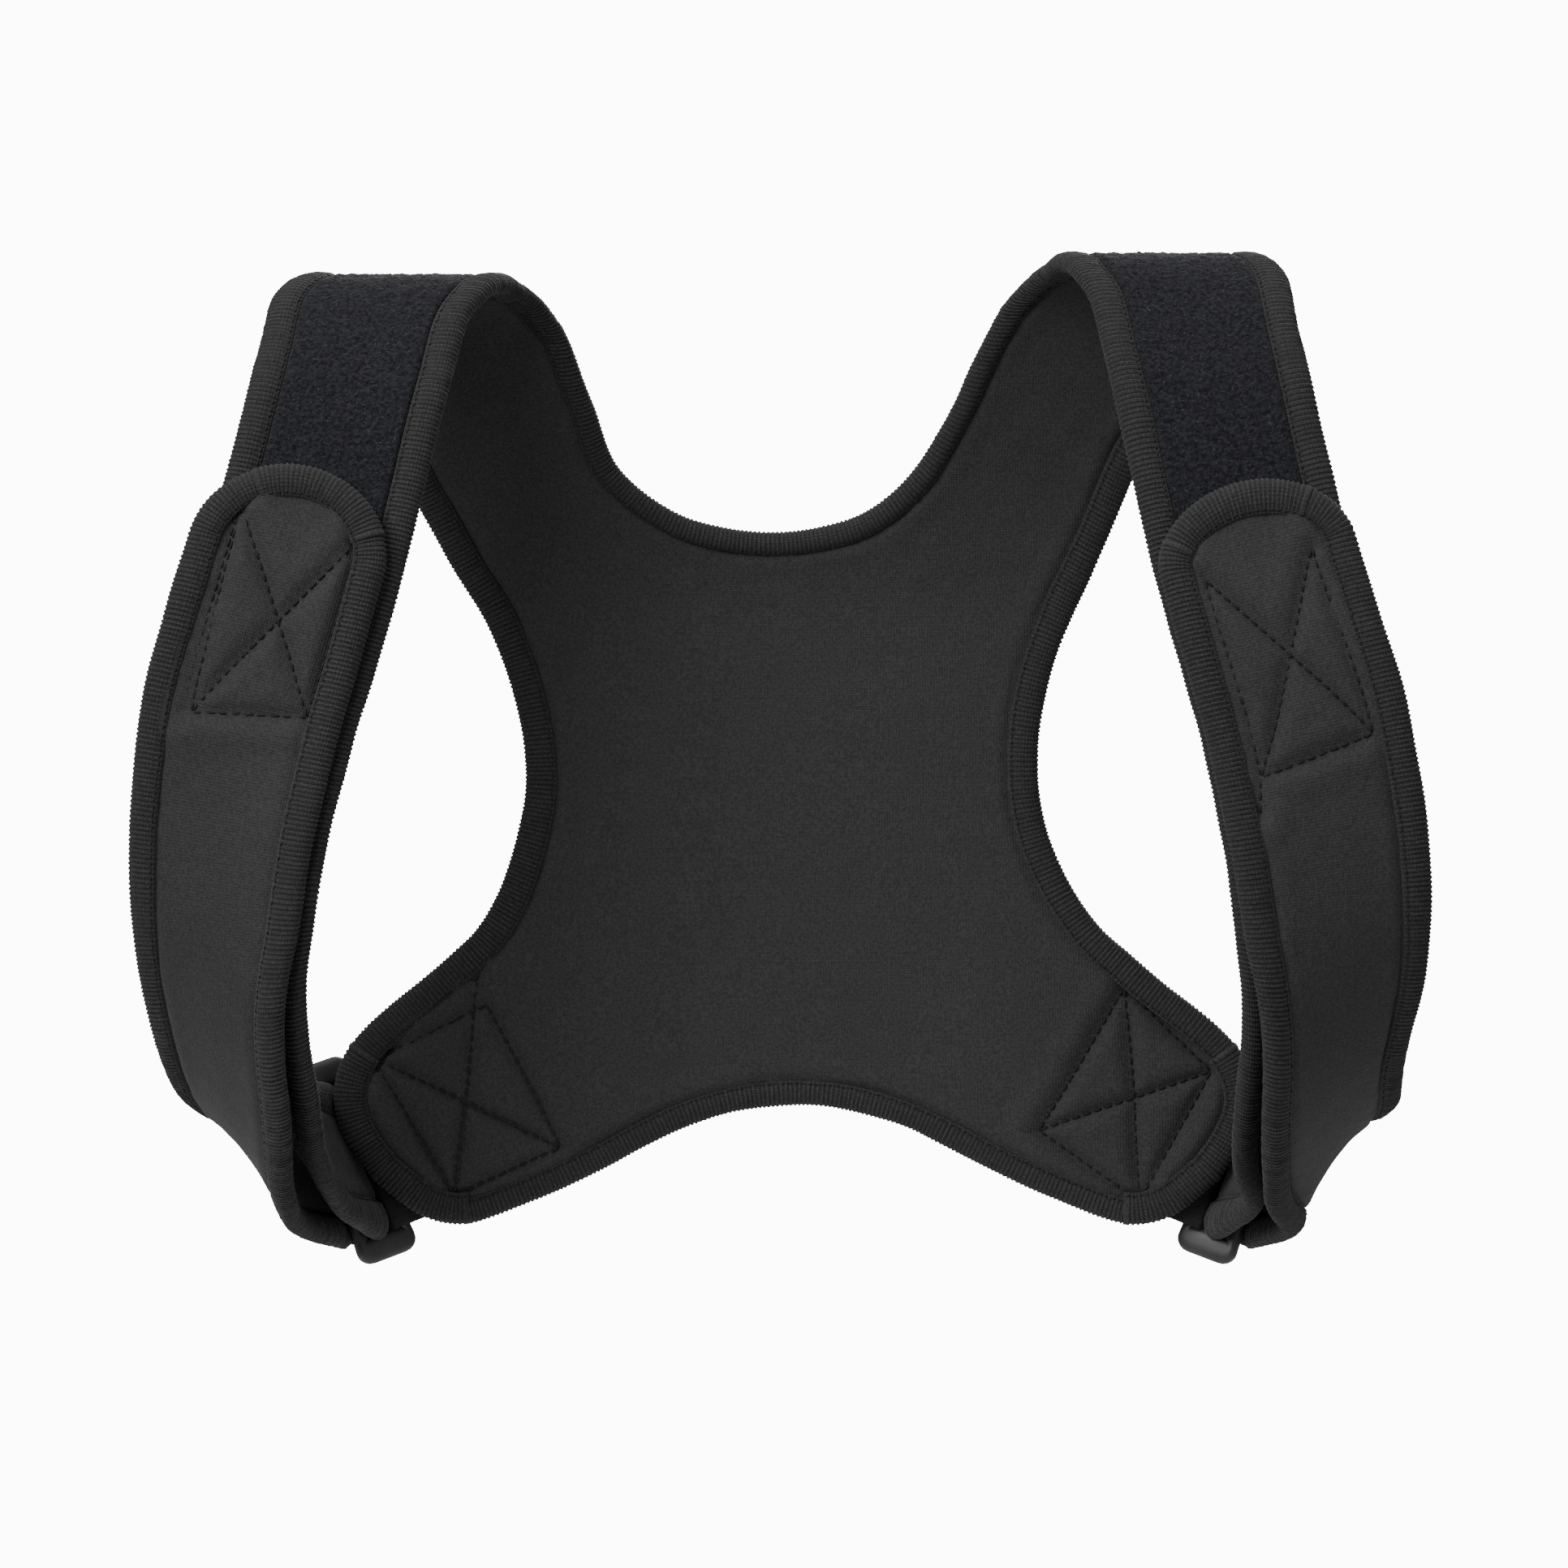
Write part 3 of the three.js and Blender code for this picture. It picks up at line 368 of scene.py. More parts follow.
def strap(name):
    """Four bands: the lower layer, the turn round the ring, the upper layer and the tongue's round end."""
    centre, across, width = strap_rows(name)
    t = np.linspace(0, len(centre) - 1, 1600)
    fine = centripetal(centre, t)
    length = arc(fine)[-1]
    n = int(length / STRAP_STEP)
    even = np.interp(np.linspace(0, length, n), arc(fine), t)
    lower = Band(centripetal(centre, even), unit(smooth(across, even)), smooth(width, even))
    lower.normal[0] = SEAM_NORMAL

    onward = unit(np.cross(lower.normal[-1], lower.across[-1]))
    onward = onward if onward.dot(lower.run[-1]) > 0 else -onward
    angles = np.radians(np.arange(10, 175, 10))[:, None]
    out = lower.normal[-1] * -np.cos(angles) + onward * np.sin(angles)
    turn = Band(lower.centre[-1] + lower.normal[-1] * TURN_RADIUS + out * TURN_RADIUS,
                *(np.repeat(field[-1:], len(angles), 0) for field in (lower.across, lower.width)), -out)

    stations = max(8, round(length / STATION_STEP))
    part = round(stations * TONGUE_END) / stations
    k = int(round(part * (n - 1))) + 1
    under = cut(cut(lower, slice(None, None, -1)), slice(0, k))
    share = np.linspace(0, part, k)
    room = np.maximum(TURN_RADIUS * table(BULGE_ROWS, share), STACK)
    blur, ramp = 9, 8
    room = np.convolve(np.pad(room, blur, mode="edge"), np.ones(2 * blur + 1) / (2 * blur + 1), "valid")
    room[:ramp] = lerp(2 * TURN_RADIUS, room[:ramp], np.linspace(0, 1, ramp))
    shift = TONGUE_SHIFT[name] * ease(share / part, 0.5, 1)
    upper = Band(under.centre + under.normal * room[:, None] + under.across * shift[:, None],
                 under.across, under.width)
    upper.normal[0] = -lower.normal[-1]

    last = cut(upper, slice(-1, None))
    angle = np.radians(np.linspace(6, 88, 15))
    end = joined(*[last] * len(angle))
    rise = TONGUE_RISE[name] * (TONGUE_ROUND - HALF_EDGE)
    end.centre = last.centre + last.run * (rise * np.sin(angle))[:, None]
    end.width = (last.width[0] - 2 * HALF_EDGE) * np.cos(angle) + 2 * HALF_EDGE
    return lower, turn, upper, end


straps = {name: strap(name) for name in SIDES}


# Meshes.
def build(name, points, quads, tris=NO_TRIS, uv=None):
    """Mesh object from points, quads and triangles. uv is one pair a point, in millimetres too."""
    mesh = bpy.data.meshes.new(name)
    mesh.vertices.add(len(points))
    mesh.vertices.foreach_set("co", (points * MM).astype(np.float32).ravel())
    loops = np.concatenate([quads.ravel(), tris.ravel()]).astype(np.int32)
    mesh.loops.add(len(loops))
    mesh.loops.foreach_set("vertex_index", loops)
    sizes = np.concatenate([np.full(len(quads), 4), np.full(len(tris), 3)])
    mesh.polygons.add(len(sizes))
    mesh.polygons.foreach_set("loop_start", np.concatenate([[0], np.cumsum(sizes)[:-1]]).astype(np.int32))
    mesh.polygons.foreach_set("use_smooth", np.ones(len(sizes), bool))
    if uv is not None:
        layer = mesh.uv_layers.new(name="cloth")
        layer.data.foreach_set("uv", (uv[loops] * MM).astype(np.float32).ravel())
    mesh.update(calc_edges=True)
    mesh.validate()
    obj = bpy.data.objects.new(name, mesh)
    bpy.context.collection.objects.link(obj)
    return obj


def turned_out(points, quads, tris=NO_TRIS):
    """The faces, flipped if the closed body is inside out."""
    volume = 0
    for triangles in (quads[:, :3], quads[:, [0, 2, 3]], tris):
        a, b, c = (points[triangles[:, k]] for k in range(3))
        volume += (a * np.cross(b, c)).sum()
    return (quads, tris) if volume > 0 else (quads[:, ::-1], tris[:, ::-1])


def slab(name, front, back, quads, flat):
    """Closed object between a front and a back skin over the same quads and flat places."""
    n = len(front)
    edges = np.vstack([quads[:, [k, (k + 1) % 4]] for k in range(4)])
    key = edges.min(1).astype(np.int64) * n + edges.max(1)
    _, where, count = np.unique(key, return_index=True, return_counts=True)
    rim = edges[where[count == 1]]
    side = np.stack([rim[:, 1], rim[:, 0], rim[:, 0] + n, rim[:, 1] + n], -1)
    points = np.vstack([front, back])
    faces, _ = turned_out(points, np.vstack([quads, quads[:, ::-1] + n, side]))
    return build(name, points, faces, uv=np.vstack([flat, flat]))


def grid_quads(rows, columns, closed=False):
    i = np.arange(rows - 1)[:, None]
    j = np.arange(columns if closed else columns - 1)[None]
    a = i * columns + j
    b = i * columns + (j + 1) % columns
    return np.stack([a, a + columns, b + columns, b], -1).reshape(-1, 4)


def tube_faces(rows, sides):
    """Quads of a tube and the triangles that close its two ends."""
    last = (rows - 1) * sides
    near = [[0, k, k + 1] for k in range(1, sides - 1)]
    far = [[last + k + 1, last + k, last] for k in range(1, sides - 1)]
    return grid_quads(rows, sides, closed=True), np.array(near + far)


def tubes_piece(name, points, sides):
    """Object of many alike closed tubes, with one row of ring points for each."""
    count, size = points.shape[:2]
    base = (np.arange(count) * size)[:, None, None]
    quads, tris = ((faces + base).reshape(-1, faces.shape[1]) for faces in tube_faces(size // sides, sides))
    points = points.reshape(-1, 3)
    return build(name, points, *turned_out(points, quads, tris))


# Heights of sewn cloth.
def sewn_lines(q, lines, depth):
    """Height of cloth that lines of stitches hold down. q is places in the cloth, lines are pairs of them."""
    best = np.full(q.shape[:-1], 1e9)
    run = np.zeros(q.shape[:-1])
    for a, b in lines:
        length = np.linalg.norm(b - a)
        t = np.clip(((q - a) @ (b - a)) / length**2, 0, 1)
        far = np.linalg.norm(q - (a + (b - a) * t[..., None]), axis=-1)
        run = np.where(far < best, t * length, run)
        best = np.minimum(best, far)
    dip = depth * (hill(best, 0, 1.25) + 0.45 * hill(best, 0, 3.6))
    pucker = 0.16 * np.sin(run * math.tau / STITCH_PITCH) * hill(best, 1.6, 1.5)
    return PUFF * hill(best, 6, 4.5) + pucker - dip


def edge_height(d, run, seed):
    """Height of cloth at distance d inside the tape's seam: a groove, a swell and wrinkles."""
    groove = 1.05 * hill(d, 0, 1.2) * (d > -2)
    wrinkle = 0.22 * waves(run, 0 * run, 9, seed) * hill(d, 2, 4)
    return 0.32 * hill(d, 4, 3) + wrinkle - groove


def box_lines(box, name):
    """Both ends of every line of a sewn box."""
    lines, *corners = box[name]
    return np.array([[corners["ABCDEF".index(end)] for end in line] for line in lines.split()], float)


def lobe_lines(name):
    return box_lines(LOBE_BOX, name) * vec(REACH, HALF_HEIGHT)


def outline_distance():
    """For every grid point: distance to the cloth's edge, run along that edge, and the tape's leg there."""
    inner = flat_grid[~((row_t > NECK_ROW) & (row_t < HEM_ROW)), 0]
    rim = np.vstack([flat_grid[:, -1], flat_grid[-1, ::-1], inner])
    q = flat_grid.reshape(-1, 2)
    best = np.full(len(q), 1e9)
    near = np.zeros(len(q), int)
    for k in range(len(rim)):
        far = ((q - rim[k]) ** 2).sum(1)
        closer = far < best
        best[closer] = far[closer]
        near[closer] = k
    leg = np.where(near < len(rim) - len(inner), LEG, np.where(rim[near, 1] > 0, NECK_LEG, HEM_LEG))
    return [a.reshape(flat_grid.shape[:2]) for a in (np.sqrt(best), near * GRID_STEP, leg)]


edge_far, edge_run, edge_leg = outline_distance()


def panel_height(name, facing):
    """Height of the panel's cloth over its plain face, for one half."""
    side = SIDES[name]
    u, v = flat_grid[..., 0] * side, flat_grid[..., 1]
    h = edge_height(edge_far - edge_leg, edge_run + 40 * (side + 1), 3 + side)
    h = h + sewn_lines(flat_grid, lobe_lines(name), LOBE_GROOVE[facing])
    rolling = (0.3 + 0.35 * hill(v, -HALF_HEIGHT, 60)) * (0.6 + 0.4 * ease(np.abs(u), 0, 12))
    h = h + rolling * waves(u, v, 55, 21) + 0.1 * waves(u, v, 14, 22)
    h[0] = 0
    return h


def panel_piece():
    """Both halves in one body, which share the points of the middle line."""
    index = np.arange(flat_grid[..., 0].size).reshape(flat_grid.shape[:2])
    left_index = index + index.size
    left_index[middle_rows, 0] = index[middle_rows, 0]
    half = grid_quads(*index.shape)
    used, quads = np.unique(np.vstack([half, left_index.ravel()[half][:, ::-1]]), return_inverse=True)
    skins = []
    for facing in (FRONT, BACK):
        halves = []
        for name in ("right", "left"):
            h = facing * (NEOPRENE / 2 + panel_height(name, facing))
            halves.append(place(panel_mid + panel_normal * h[..., None], SIDES[name]).reshape(-1, 3))
        skins.append(np.vstack(halves)[used])
    flat = flat_grid.reshape(-1, 2)
    flat = np.vstack([flat, flat * vec(-1, 1)])[used]
    return slab("back_panel_cloth", *skins, quads.reshape(-1, 4), flat)


# Straps.
RING_SWELL = 3.0  # how far the cloth swells where the ring squeezes it


def strap_height(name, facing):
    band = joined(*straps[name])
    s, half = arc(band.centre), band.half()[:, None]
    w = np.linspace(-1, 1, STRAP_COLUMNS) * half
    run = s[:, None] + 0 * w
    from_ring = (np.arange(len(s)) - len(straps[name][0].centre))[:, None]
    to_end = s[-1] - run
    h = edge_height(half - np.abs(w) - LEG, run + 500 * np.sign(w), 9)
    sewn = sewn_lines(np.stack([to_end, w], -1), box_lines(TONGUE_BOX, name), TONGUE_GROOVE[facing])
    h = h + np.where(to_end < BOX_END, sewn, 0)
    h = h + 0.4 * waves(run, w, 60, 31 + SIDES[name]) + 0.08 * waves(run, w, 12, 33)
    h = h + 0.25 * hill(from_ring, 0, 14) * waves(run, w, 16, 36)
    if facing == FRONT:
        h = h + RING_SWELL * hill(from_ring, 8, 7)
    return h * ease(s, 0, 6)[:, None]


def band_points(band, heights, shares, side):
    """Placed points of a band: rows of stations, columns across. heights has the same shape."""
    return place(np.stack([band.at(w, heights[:, k]) for k, w in enumerate(shares)], 1), side).reshape(-1, 3)


def strap_piece(name):
    band = joined(*straps[name])
    shares = np.linspace(-1, 1, STRAP_COLUMNS)
    front = band_points(band, -(NEOPRENE / 2 + strap_height(name, FRONT)), shares, SIDES[name])
    back = band_points(band, NEOPRENE / 2 + 0.4 * strap_height(name, BACK), shares, SIDES[name])
    w = shares * band.half()[:, None]
    flat = np.stack([arc(band.centre)[:, None] + 0 * w, w], -1).reshape(-1, 2)
    return slab(f"shoulder_strap_cloth_{name}", front, back, grid_quads(*w.shape), flat)


# Knit tape folded over an edge. The section is out of the edge, along the normal as a share of the half
# height, and how far ribs show there.
RIB_PITCH, RIB_STEP, RIB_LIFT = 1.45, 0.44, 0.26
SECTION = [(-LEG - 0.05, 0.66, 0.3), (-LEG + 1.0, 0.7, 0.35), (-LEG + 2.1, 0.93, 1), (-LEG + 4.4, 1.03, 1),
           (0.0, 0.98, 1), (0.52 * HALF_EDGE, 0.8, 1), (0.86 * HALF_EDGE, 0.45, 1), (HALF_EDGE, 0.0, 1)]
SECTION = SECTION + [(a, -b, r) for a, b, r in SECTION[-2::-1]]
WRAPPING = ("lobe", "tongue")  # tapes that lie over the ends of others
WRAP_OVER, WRAP_SCALE, PLAIN_OVER = 1.4, 1.07, 0.1


def tape_rings(edge, out, normal, seed, over, scale, leg):
    """Rings of points round a tape, and the flat place of each point."""
    t = even_places(edge, max(2, int(round(arc(edge)[-1] / RIB_STEP)) + 1))
    edge, out, normal = (smooth(line, t) for line in (edge, out, normal))
    s = arc(edge)
    jitter = 0.35 * waves(s, 0 * s, 17, seed)
    rib = np.cos((s + jitter) * math.tau / RIB_PITCH)
    swell = 0.12 * waves(s, 0 * s, 24, seed + 1)
    rings, flats = [], []
    for k, (a, b, share) in enumerate(SECTION):
        a = a if a > 0 else a * leg / LEG
        reach = a * scale * (1 + 0.1 * swell)
        lift = share * (RIB_LIFT * rib * (1 + 0.4 * waves(s, 0 * s, 5, seed + k)) + swell)
        turn = math.atan2(b, a / HALF_EDGE + 0.001)
        push_out, push_up = (math.cos(turn), math.sin(turn)) if a > 0 else (0, math.copysign(1, b))
        rings.append(edge + out * (reach + lift * push_out)[:, None]
                     + normal * (b * scale * HALF_EDGE + lift * push_up)[:, None])
        flats.append(np.stack([s + jitter, np.full(len(s), k * 1.6)], -1))
    rings, flats = np.stack(rings, 1), np.stack(flats, 1)
    first = rings[0] + unit(edge[0] - edge[1]) * over
    last = rings[-1] + unit(edge[-1] - edge[-2]) * over
    return np.concatenate([[first], rings, [last]]), np.concatenate([flats[:1], flats, flats[-1:]])


def both_halves(rings):
    left = rings[..., 0] < 0
    return np.where(left[..., None], place(rings * vec(-1, 1, 1), -1), place(rings, 1))


def tape_piece(name, lines, side, seed):
    """A tape along lines of edge, outward direction and normal in the plain half, and its seams' threads."""
    wraps = name.startswith(WRAPPING)
    over, scale = (WRAP_OVER, WRAP_SCALE) if wraps else (PLAIN_OVER, 1.0)
    leg = {"neckline": NECK_LEG, "hem": HEM_LEG}.get(name.split("_")[0], LEG)
    rings, flats = tape_rings(*lines, seed, over, scale, leg)
    rings = place(rings, side) if side else both_halves(rings)
    seams = [threads(rings[:, k], unit(rings[:, k] - rings[:, -1 - k]), SEAM_LENGTH, SEAM_PITCH, SEAM_RADIUS,
                     SEAM_ZIGZAG, 0.0) for k in (1, -2)]
    points = rings.reshape(-1, 3)
    faces = turned_out(points, *tube_faces(*rings.shape[:2]))
    return build(name, points, *faces, flats.reshape(-1, 2)), np.vstack(seams)


def outward(p, n, hint):
    """Direction in the cloth that leaves its edge p, on the side of the hint."""
    out = unit(np.cross(unit(np.gradient(p, axis=0)), n))
    return out * np.sign((out * hint).sum(1, keepdims=True))


def panel_edge(lo, hi, column):
    """Edge line, outward direction and normal along the panel's rows at one end of them."""
    rows = np.nonzero((row_t >= lo - 1e-6) & (row_t <= hi + 1e-6))[0]
    p, n = panel_mid[rows, column], panel_normal[rows, column]
    hint = p - panel_mid[rows, 1 if column == 0 else -2]
    out = outward(p, n, hint)
    along_row = unit(hint)
    along_row = along_row / (along_row * out).sum(1, keepdims=True)
    return p, lerp(out, along_row, (1 - ease(row_t[rows], 1.5, 4.5))[:, None]), n


def across_middle(edge, out, normal):
    """The line that runs on through the middle plane, from the left end to the right end."""
    out[0] = out[0] * vec(0, 1, 1)
    return [np.vstack([(a * vec(-1, 1, 1))[:0:-1], a]) for a in (edge, out, normal)]


def lobe_edge():
    """Lines round the lobe's end: down the armhole's side, then back along the hem's."""
    down, back = panel_edge(CORNER_ROW, LAST_ROW, -1), panel_edge(LOBE_ROW, LAST_ROW, 0)
    p, hint, n = (np.vstack([a, b[::-1]]) for a, b in zip(down, back))
    out = outward(p, n, hint)
    for _ in range(3):
        out[1:-1] = unit(out[:-2] + out[1:-1] * 2 + out[2:])
    return p, out, n


def strap_edge(band, sign):
    """Lines along one edge of a strap. They are fuller where the ring squeezes it."""
    stations = np.arange(len(band.centre)) - np.argmin(band.width)
    fuller = (1 + 0.28 * hill(stations, 0, 8))[:, None]
    return band.at(sign, 0), band.across * (sign * band.stretch)[:, None] * fuller, band.normal * fuller


def tongue_edge(name):
    """Edge lines of the arc's parts: under the inner tape, the tongue's own tape and the outer tape."""
    _, _, upper, end = straps[name]
    corner = cut(upper, slice(-1, None))
    band = joined(corner, end)
    p = np.vstack([band.at(-1, 0), band.at(1, 0)[::-1]])
    n = np.repeat(corner.normal, len(p), 0)
    out = outward(p, n, p - p.mean(0))
    straight = corner.across[0] * corner.stretch[0]
    out[0], out[-1] = -straight, straight
    s = arc(p)
    first, last = (int(np.searchsorted(s, s[-1] * share)) for share in JOINTS[name])
    return [[a[which] for a in (p, out, n)]
            for which in (slice(1, first + 1), slice(first, last + 1), slice(-2, last - 1, -1))]


# Stitches: short threads that stand a little out of the cloth.
def threads(path, normal, length, pitch, radius, zigzag=0.0, lift=0.1):
    """Ring points of the stitches along a line: four rings of four points, thin at both ends."""
    s = arc(path)
    count = max(1, int(s[-1] / pitch))
    start = (np.arange(count) + 0.12) * s[-1] / count
    a, b = along(path, s, start), along(path, s, start + length)
    n = unit(along(normal, s, start + length / 2))
    across = unit(np.cross(b - a, n))
    swing = across * (zigzag * np.where(np.arange(count) % 2, 1, -1))[:, None]
    a, b = a - swing, b + swing
    rings = []
    for t, size, up in [(0.02, 0.35, -0.12), (0.25, 1, 0.5), (0.75, 1, 0.5), (0.98, 0.35, -0.12)]:
        middle = lerp(a, b, t) + n * (lift + radius * up)
        for angle in np.radians([0, 90, 180, 270]):
            rings.append(middle + (across * math.cos(angle) + n * math.sin(angle)) * radius * size)
    return np.stack(rings, 1)


def sewn_in(base, normal, depth, side):
    """Stitches along a line of the middle layer, as deep under the plain face of the cloth."""
    path, lifted = (place(base + normal * (NEOPRENE / 2 - depth + more), side) for more in (0, 1))
    return threads(path, unit(lifted - path), STITCH_LENGTH, STITCH_PITCH, STITCH_RADIUS)


def line_steps(a, b):
    """Places a millimetre apart on the line from a to b."""
    return a + (b - a) * np.linspace(0, 1, max(3, int(np.linalg.norm(b - a))))[:, None]


def lobe_threads(name):
    parts = []
    for a, b in lobe_lines(name):
        flat = line_steps(a, b)
        near = [np.linalg.norm(flat_grid - q, axis=-1) for q in flat]
        normal = np.array([panel_normal[np.unravel_index(d.argmin(), d.shape)] for d in near])
        for facing in (FRONT, BACK):
            parts.append(sewn_in(on_panel(*flat.T), normal * facing, STITCH_DEPTH[facing], SIDES[name]))
    return np.vstack(parts)


def tongue_threads(name):
    band = joined(*straps[name][2:])
    s = arc(band.centre)
    parts = []
    for a, b in box_lines(TONGUE_BOX, name):
        flat = line_steps(a, b)
        t = np.interp(s[-1] - flat[:, 0], s, np.arange(len(s)))
        there = remade(lambda field: smooth(field, t), band)
        base = there.centre + there.across * flat[:, 1:2]
        parts.append(sewn_in(base, -there.normal, STITCH_DEPTH[FRONT], SIDES[name]))
    return np.vstack(parts)


# Loop facing: a slab with a restless surface, and loose fibres standing on it.
def loop_band(name):
    return cut(straps[name][0], slice(0, -16))


def loop_piece(name):
    band = loop_band(name)
    length = arc(band.centre)[-1]
    t = even_places(band.centre, int(length / LOOP_STEP))
    fine = remade(lambda field: smooth(field, t), band)
    reach = 1 - (LEG + 0.3) / fine.half()
    shares = np.linspace(-1, 1, LOOP_COLUMNS)
    w = shares * (reach * fine.half())[:, None]
    run = np.linspace(0, length, len(t))[:, None] + 0 * w
    top = ON_NEOPRENE + FACING - 0.35 + rng.normal(0, 0.2, w.shape) + 0.1 * waves(run, w, 3.1, 51)
    top += 0.12 * waves(run, w, 30, 52)
    top = np.where(np.abs(shares) > 0.985, ON_NEOPRENE + 0.1, top)
    bottom = np.full(w.shape, NEOPRENE / 2 - 0.4)
    narrowed = [reach * x for x in shares]
    skins = (band_points(fine, heights, narrowed, SIDES[name]) for heights in (top, bottom))
    flat = np.stack([run, w], -1).reshape(-1, 2)
    return slab(f"loop_facing_cloth_{name}", *skins, grid_quads(*w.shape), flat)


def fibre_piece(name):
    """Small arched fibres, each a three-sided thread of two steps."""
    band = loop_band(name)
    t = rng.uniform(0.5, len(band.centre) - 2, FIBRES)
    share = rng.uniform(-0.97, 0.97, FIBRES)
    there = remade(lambda field: smooth(field, t), band)
    out = share * (there.half() - LEG - 0.6)
    root = there.centre + there.across * out[:, None] + there.normal * (ON_NEOPRENE + FACING - 0.45)
    root = place(root, SIDES[name])
    across, normal, run = (a * vec(SIDES[name], 1, 1) for a in (there.across, there.normal, there.run))
    turn = rng.uniform(0, math.tau, FIBRES)[:, None]
    lay = across * np.cos(turn) + run * np.sin(turn)
    length = rng.uniform(0.8, 1.6, FIBRES)[:, None]
    height = rng.uniform(0.25, 0.6, FIBRES)[:, None]
    wide = unit(np.cross(lay, normal))
    sides, radius = 3, 0.06
    rings = []
    for f in (0, 0.5, 1):
        middle = root + lay * length * (f - 0.5) + normal * height * math.sin(math.pi * f)
        middle = middle + wide * 0.3 * length * math.sin(2.5 * f) * np.sign(turn - 3)
        for angle in np.arange(sides) * math.tau / sides:
            rings.append(middle + (wide * math.cos(angle) + normal * math.sin(angle)) * radius)
    return tubes_piece(f"loop_fibres_{name}", np.stack(rings, 1), sides)


# Ring: a squarish bar bent into a rounded rectangle, wider and a little flared at its two ends.
RING_SIDES, BAR_POWER, FLARE = 24, 3.2, 0.5
END_OUTSIDE, END_INSIDE = 1.1, 0.45


def ring_piece(name):
    middle = (inner_bar + outer_bar) / 2
    half_long, half_short = (RING_LONG - BAR) / 2, (RING_SHORT - BAR) / 2
    rings = []
    for a, b, start in ((1, 1, 0), (-1, 1, 90), (-1, -1, 180), (1, -1, 270)):
        for angle in np.radians(start + np.arange(0, 91, 9)):
            endward = math.sin(angle) ** 2
            x = a * (half_short - RING_CORNER) + RING_CORNER * math.cos(angle)
            z = b * (half_long - RING_CORNER) + RING_CORNER * math.sin(angle)
            centre = middle + ring_short * x * (1 + FLARE * endward) + ring_long * z
            out = ring_short * math.cos(angle) + ring_long * math.sin(angle)
            for turn in np.arange(RING_SIDES) * math.tau / RING_SIDES:
                c, d = math.cos(turn), math.sin(turn)
                radius = BAR / 2 / (abs(c) ** BAR_POWER + abs(d) ** BAR_POWER) ** (1 / BAR_POWER)
                wide = 1 + endward**2 * (END_OUTSIDE if c > 0 else END_INSIDE)
                rings.append(centre + out * c * radius * wide + ring_face * radius * d)
    points = place(np.array(rings), SIDES[name])
    index = np.arange(len(points)).reshape(-1, RING_SIDES)
    after = np.roll(index, -1, 0)
    quads = np.stack([index, after, np.roll(after, -1, 1), np.roll(index, -1, 1)], -1).reshape(-1, 4)
    return build(f"ring_body_{name}", points, *turned_out(points, quads))


# Webbing: flat behind the lobe, round the ring's inner bar and back over itself.
WEFT_PITCH, WARP_PITCH, WEFT_RISE, WARP_RISE = 1.7, 1.8, 0.11, 0.1
WEB_STEPS = [(0, 0), (0.3, 0), (0.5, 0.35), (0.72, 0.85)]  # shares of the run, and of the rise to the bar
HUG = BAR / 2 + GAP + WEB / 2 + 1.0
SEWN_BACK = HALF_EDGE + GAP + WEB / 2


def webbing_piece(name):
    """The band, and its length."""
    start = box_middle - web_along * BOX_LENGTH / 2
    length = BOX_LENGTH / 2 + WEB_REACH
    ahead = vec(web_along[0], 0, web_along[1])
    ahead = unit(ahead - ring_long * ahead.dot(ring_long))
    behind = unit(np.cross(ahead, ring_long))
    behind = behind if behind[1] > 0 else -behind
    wide = np.linspace(-0.5, 0.5, WEB_COLUMNS)[:, None] * (WEB_WIDTH + 1.2)

    def row_at(run, rise, back):
        flat = start + web_along * run * length + web_across * wide
        on_lobe = on_panel(flat[:, 0], flat[:, 1]) + vec(0, SEWN_BACK + back, 0)
        bar = inner_bar + ring_long * wide + behind * (back - HUG)
        made = lerp(on_lobe, bar + ahead * (run - 1) * length, ease(run, 0.3, 1))
        made[:, 1] = lerp(on_lobe[:, 1], bar[:, 1], rise)
        return made

    rows = [row_at(run, rise, 0) for run, rise in WEB_STEPS]
    for a in np.radians(np.arange(-90, 91, 30)):
        rows.append(inner_bar + ring_long * wide + ahead * HUG * math.cos(a) + behind * HUG * math.sin(a))
    rows += [row_at(run, rise, lerp(WEB + GAP, 2 * HUG, rise)) for run, rise in WEB_STEPS[::-1]]
    rows = np.array(rows)
    end = len(rows) - 1
    stretches = ((0, 3, 1 / 16), (3, end - 3, 1 / 5), (end - 3, end, 1 / 16))
    t = np.concatenate([np.arange(*stretch) for stretch in stretches] + [[end]])
    mid = smooth(rows, t)
    s = arc(mid[:, WEB_COLUMNS // 2])
    w = wide[:, 0] + 0 * s[:, None]
    run = s[:, None] + 0 * w
    weft = np.sin(run * math.tau / WEFT_PITCH + (np.floor(w / WARP_PITCH) % 2) * math.pi)
    weave = WEFT_RISE * weft + WARP_RISE * np.cos(w * math.tau / WARP_PITCH)
    h = WEB / 2 - 0.15 * (np.abs(w) > WEB_WIDTH / 2 - 1.5) + weave
    lift = -grid_normals(mid) * h[..., None]
    skins = (place(mid + lift * sign, SIDES[name]).reshape(-1, 3) for sign in (1, -1))
    flat = np.stack([run, w], -1).reshape(-1, 2)
    return slab(f"webbing_band_{name}", *skins, grid_quads(*w.shape), flat), s[-1]


# Materials.
def nodes_of(name, colour, roughness, sheen=0.0, sheen_roughness=0.5, specular=0.5):
    mat = bpy.data.materials.new(name)
    mat.use_nodes = True
    tree = mat.node_tree
    shader = tree.nodes["Principled BSDF"]
    shader.inputs["Base Color"].default_value = (*colour, 1)
    shader.inputs["Roughness"].default_value = roughness
    shader.inputs["Sheen Weight"].default_value = sheen
    shader.inputs["Sheen Roughness"].default_value = sheen_roughness
    shader.inputs["Specular IOR Level"].default_value = specular
    return mat, tree, shader


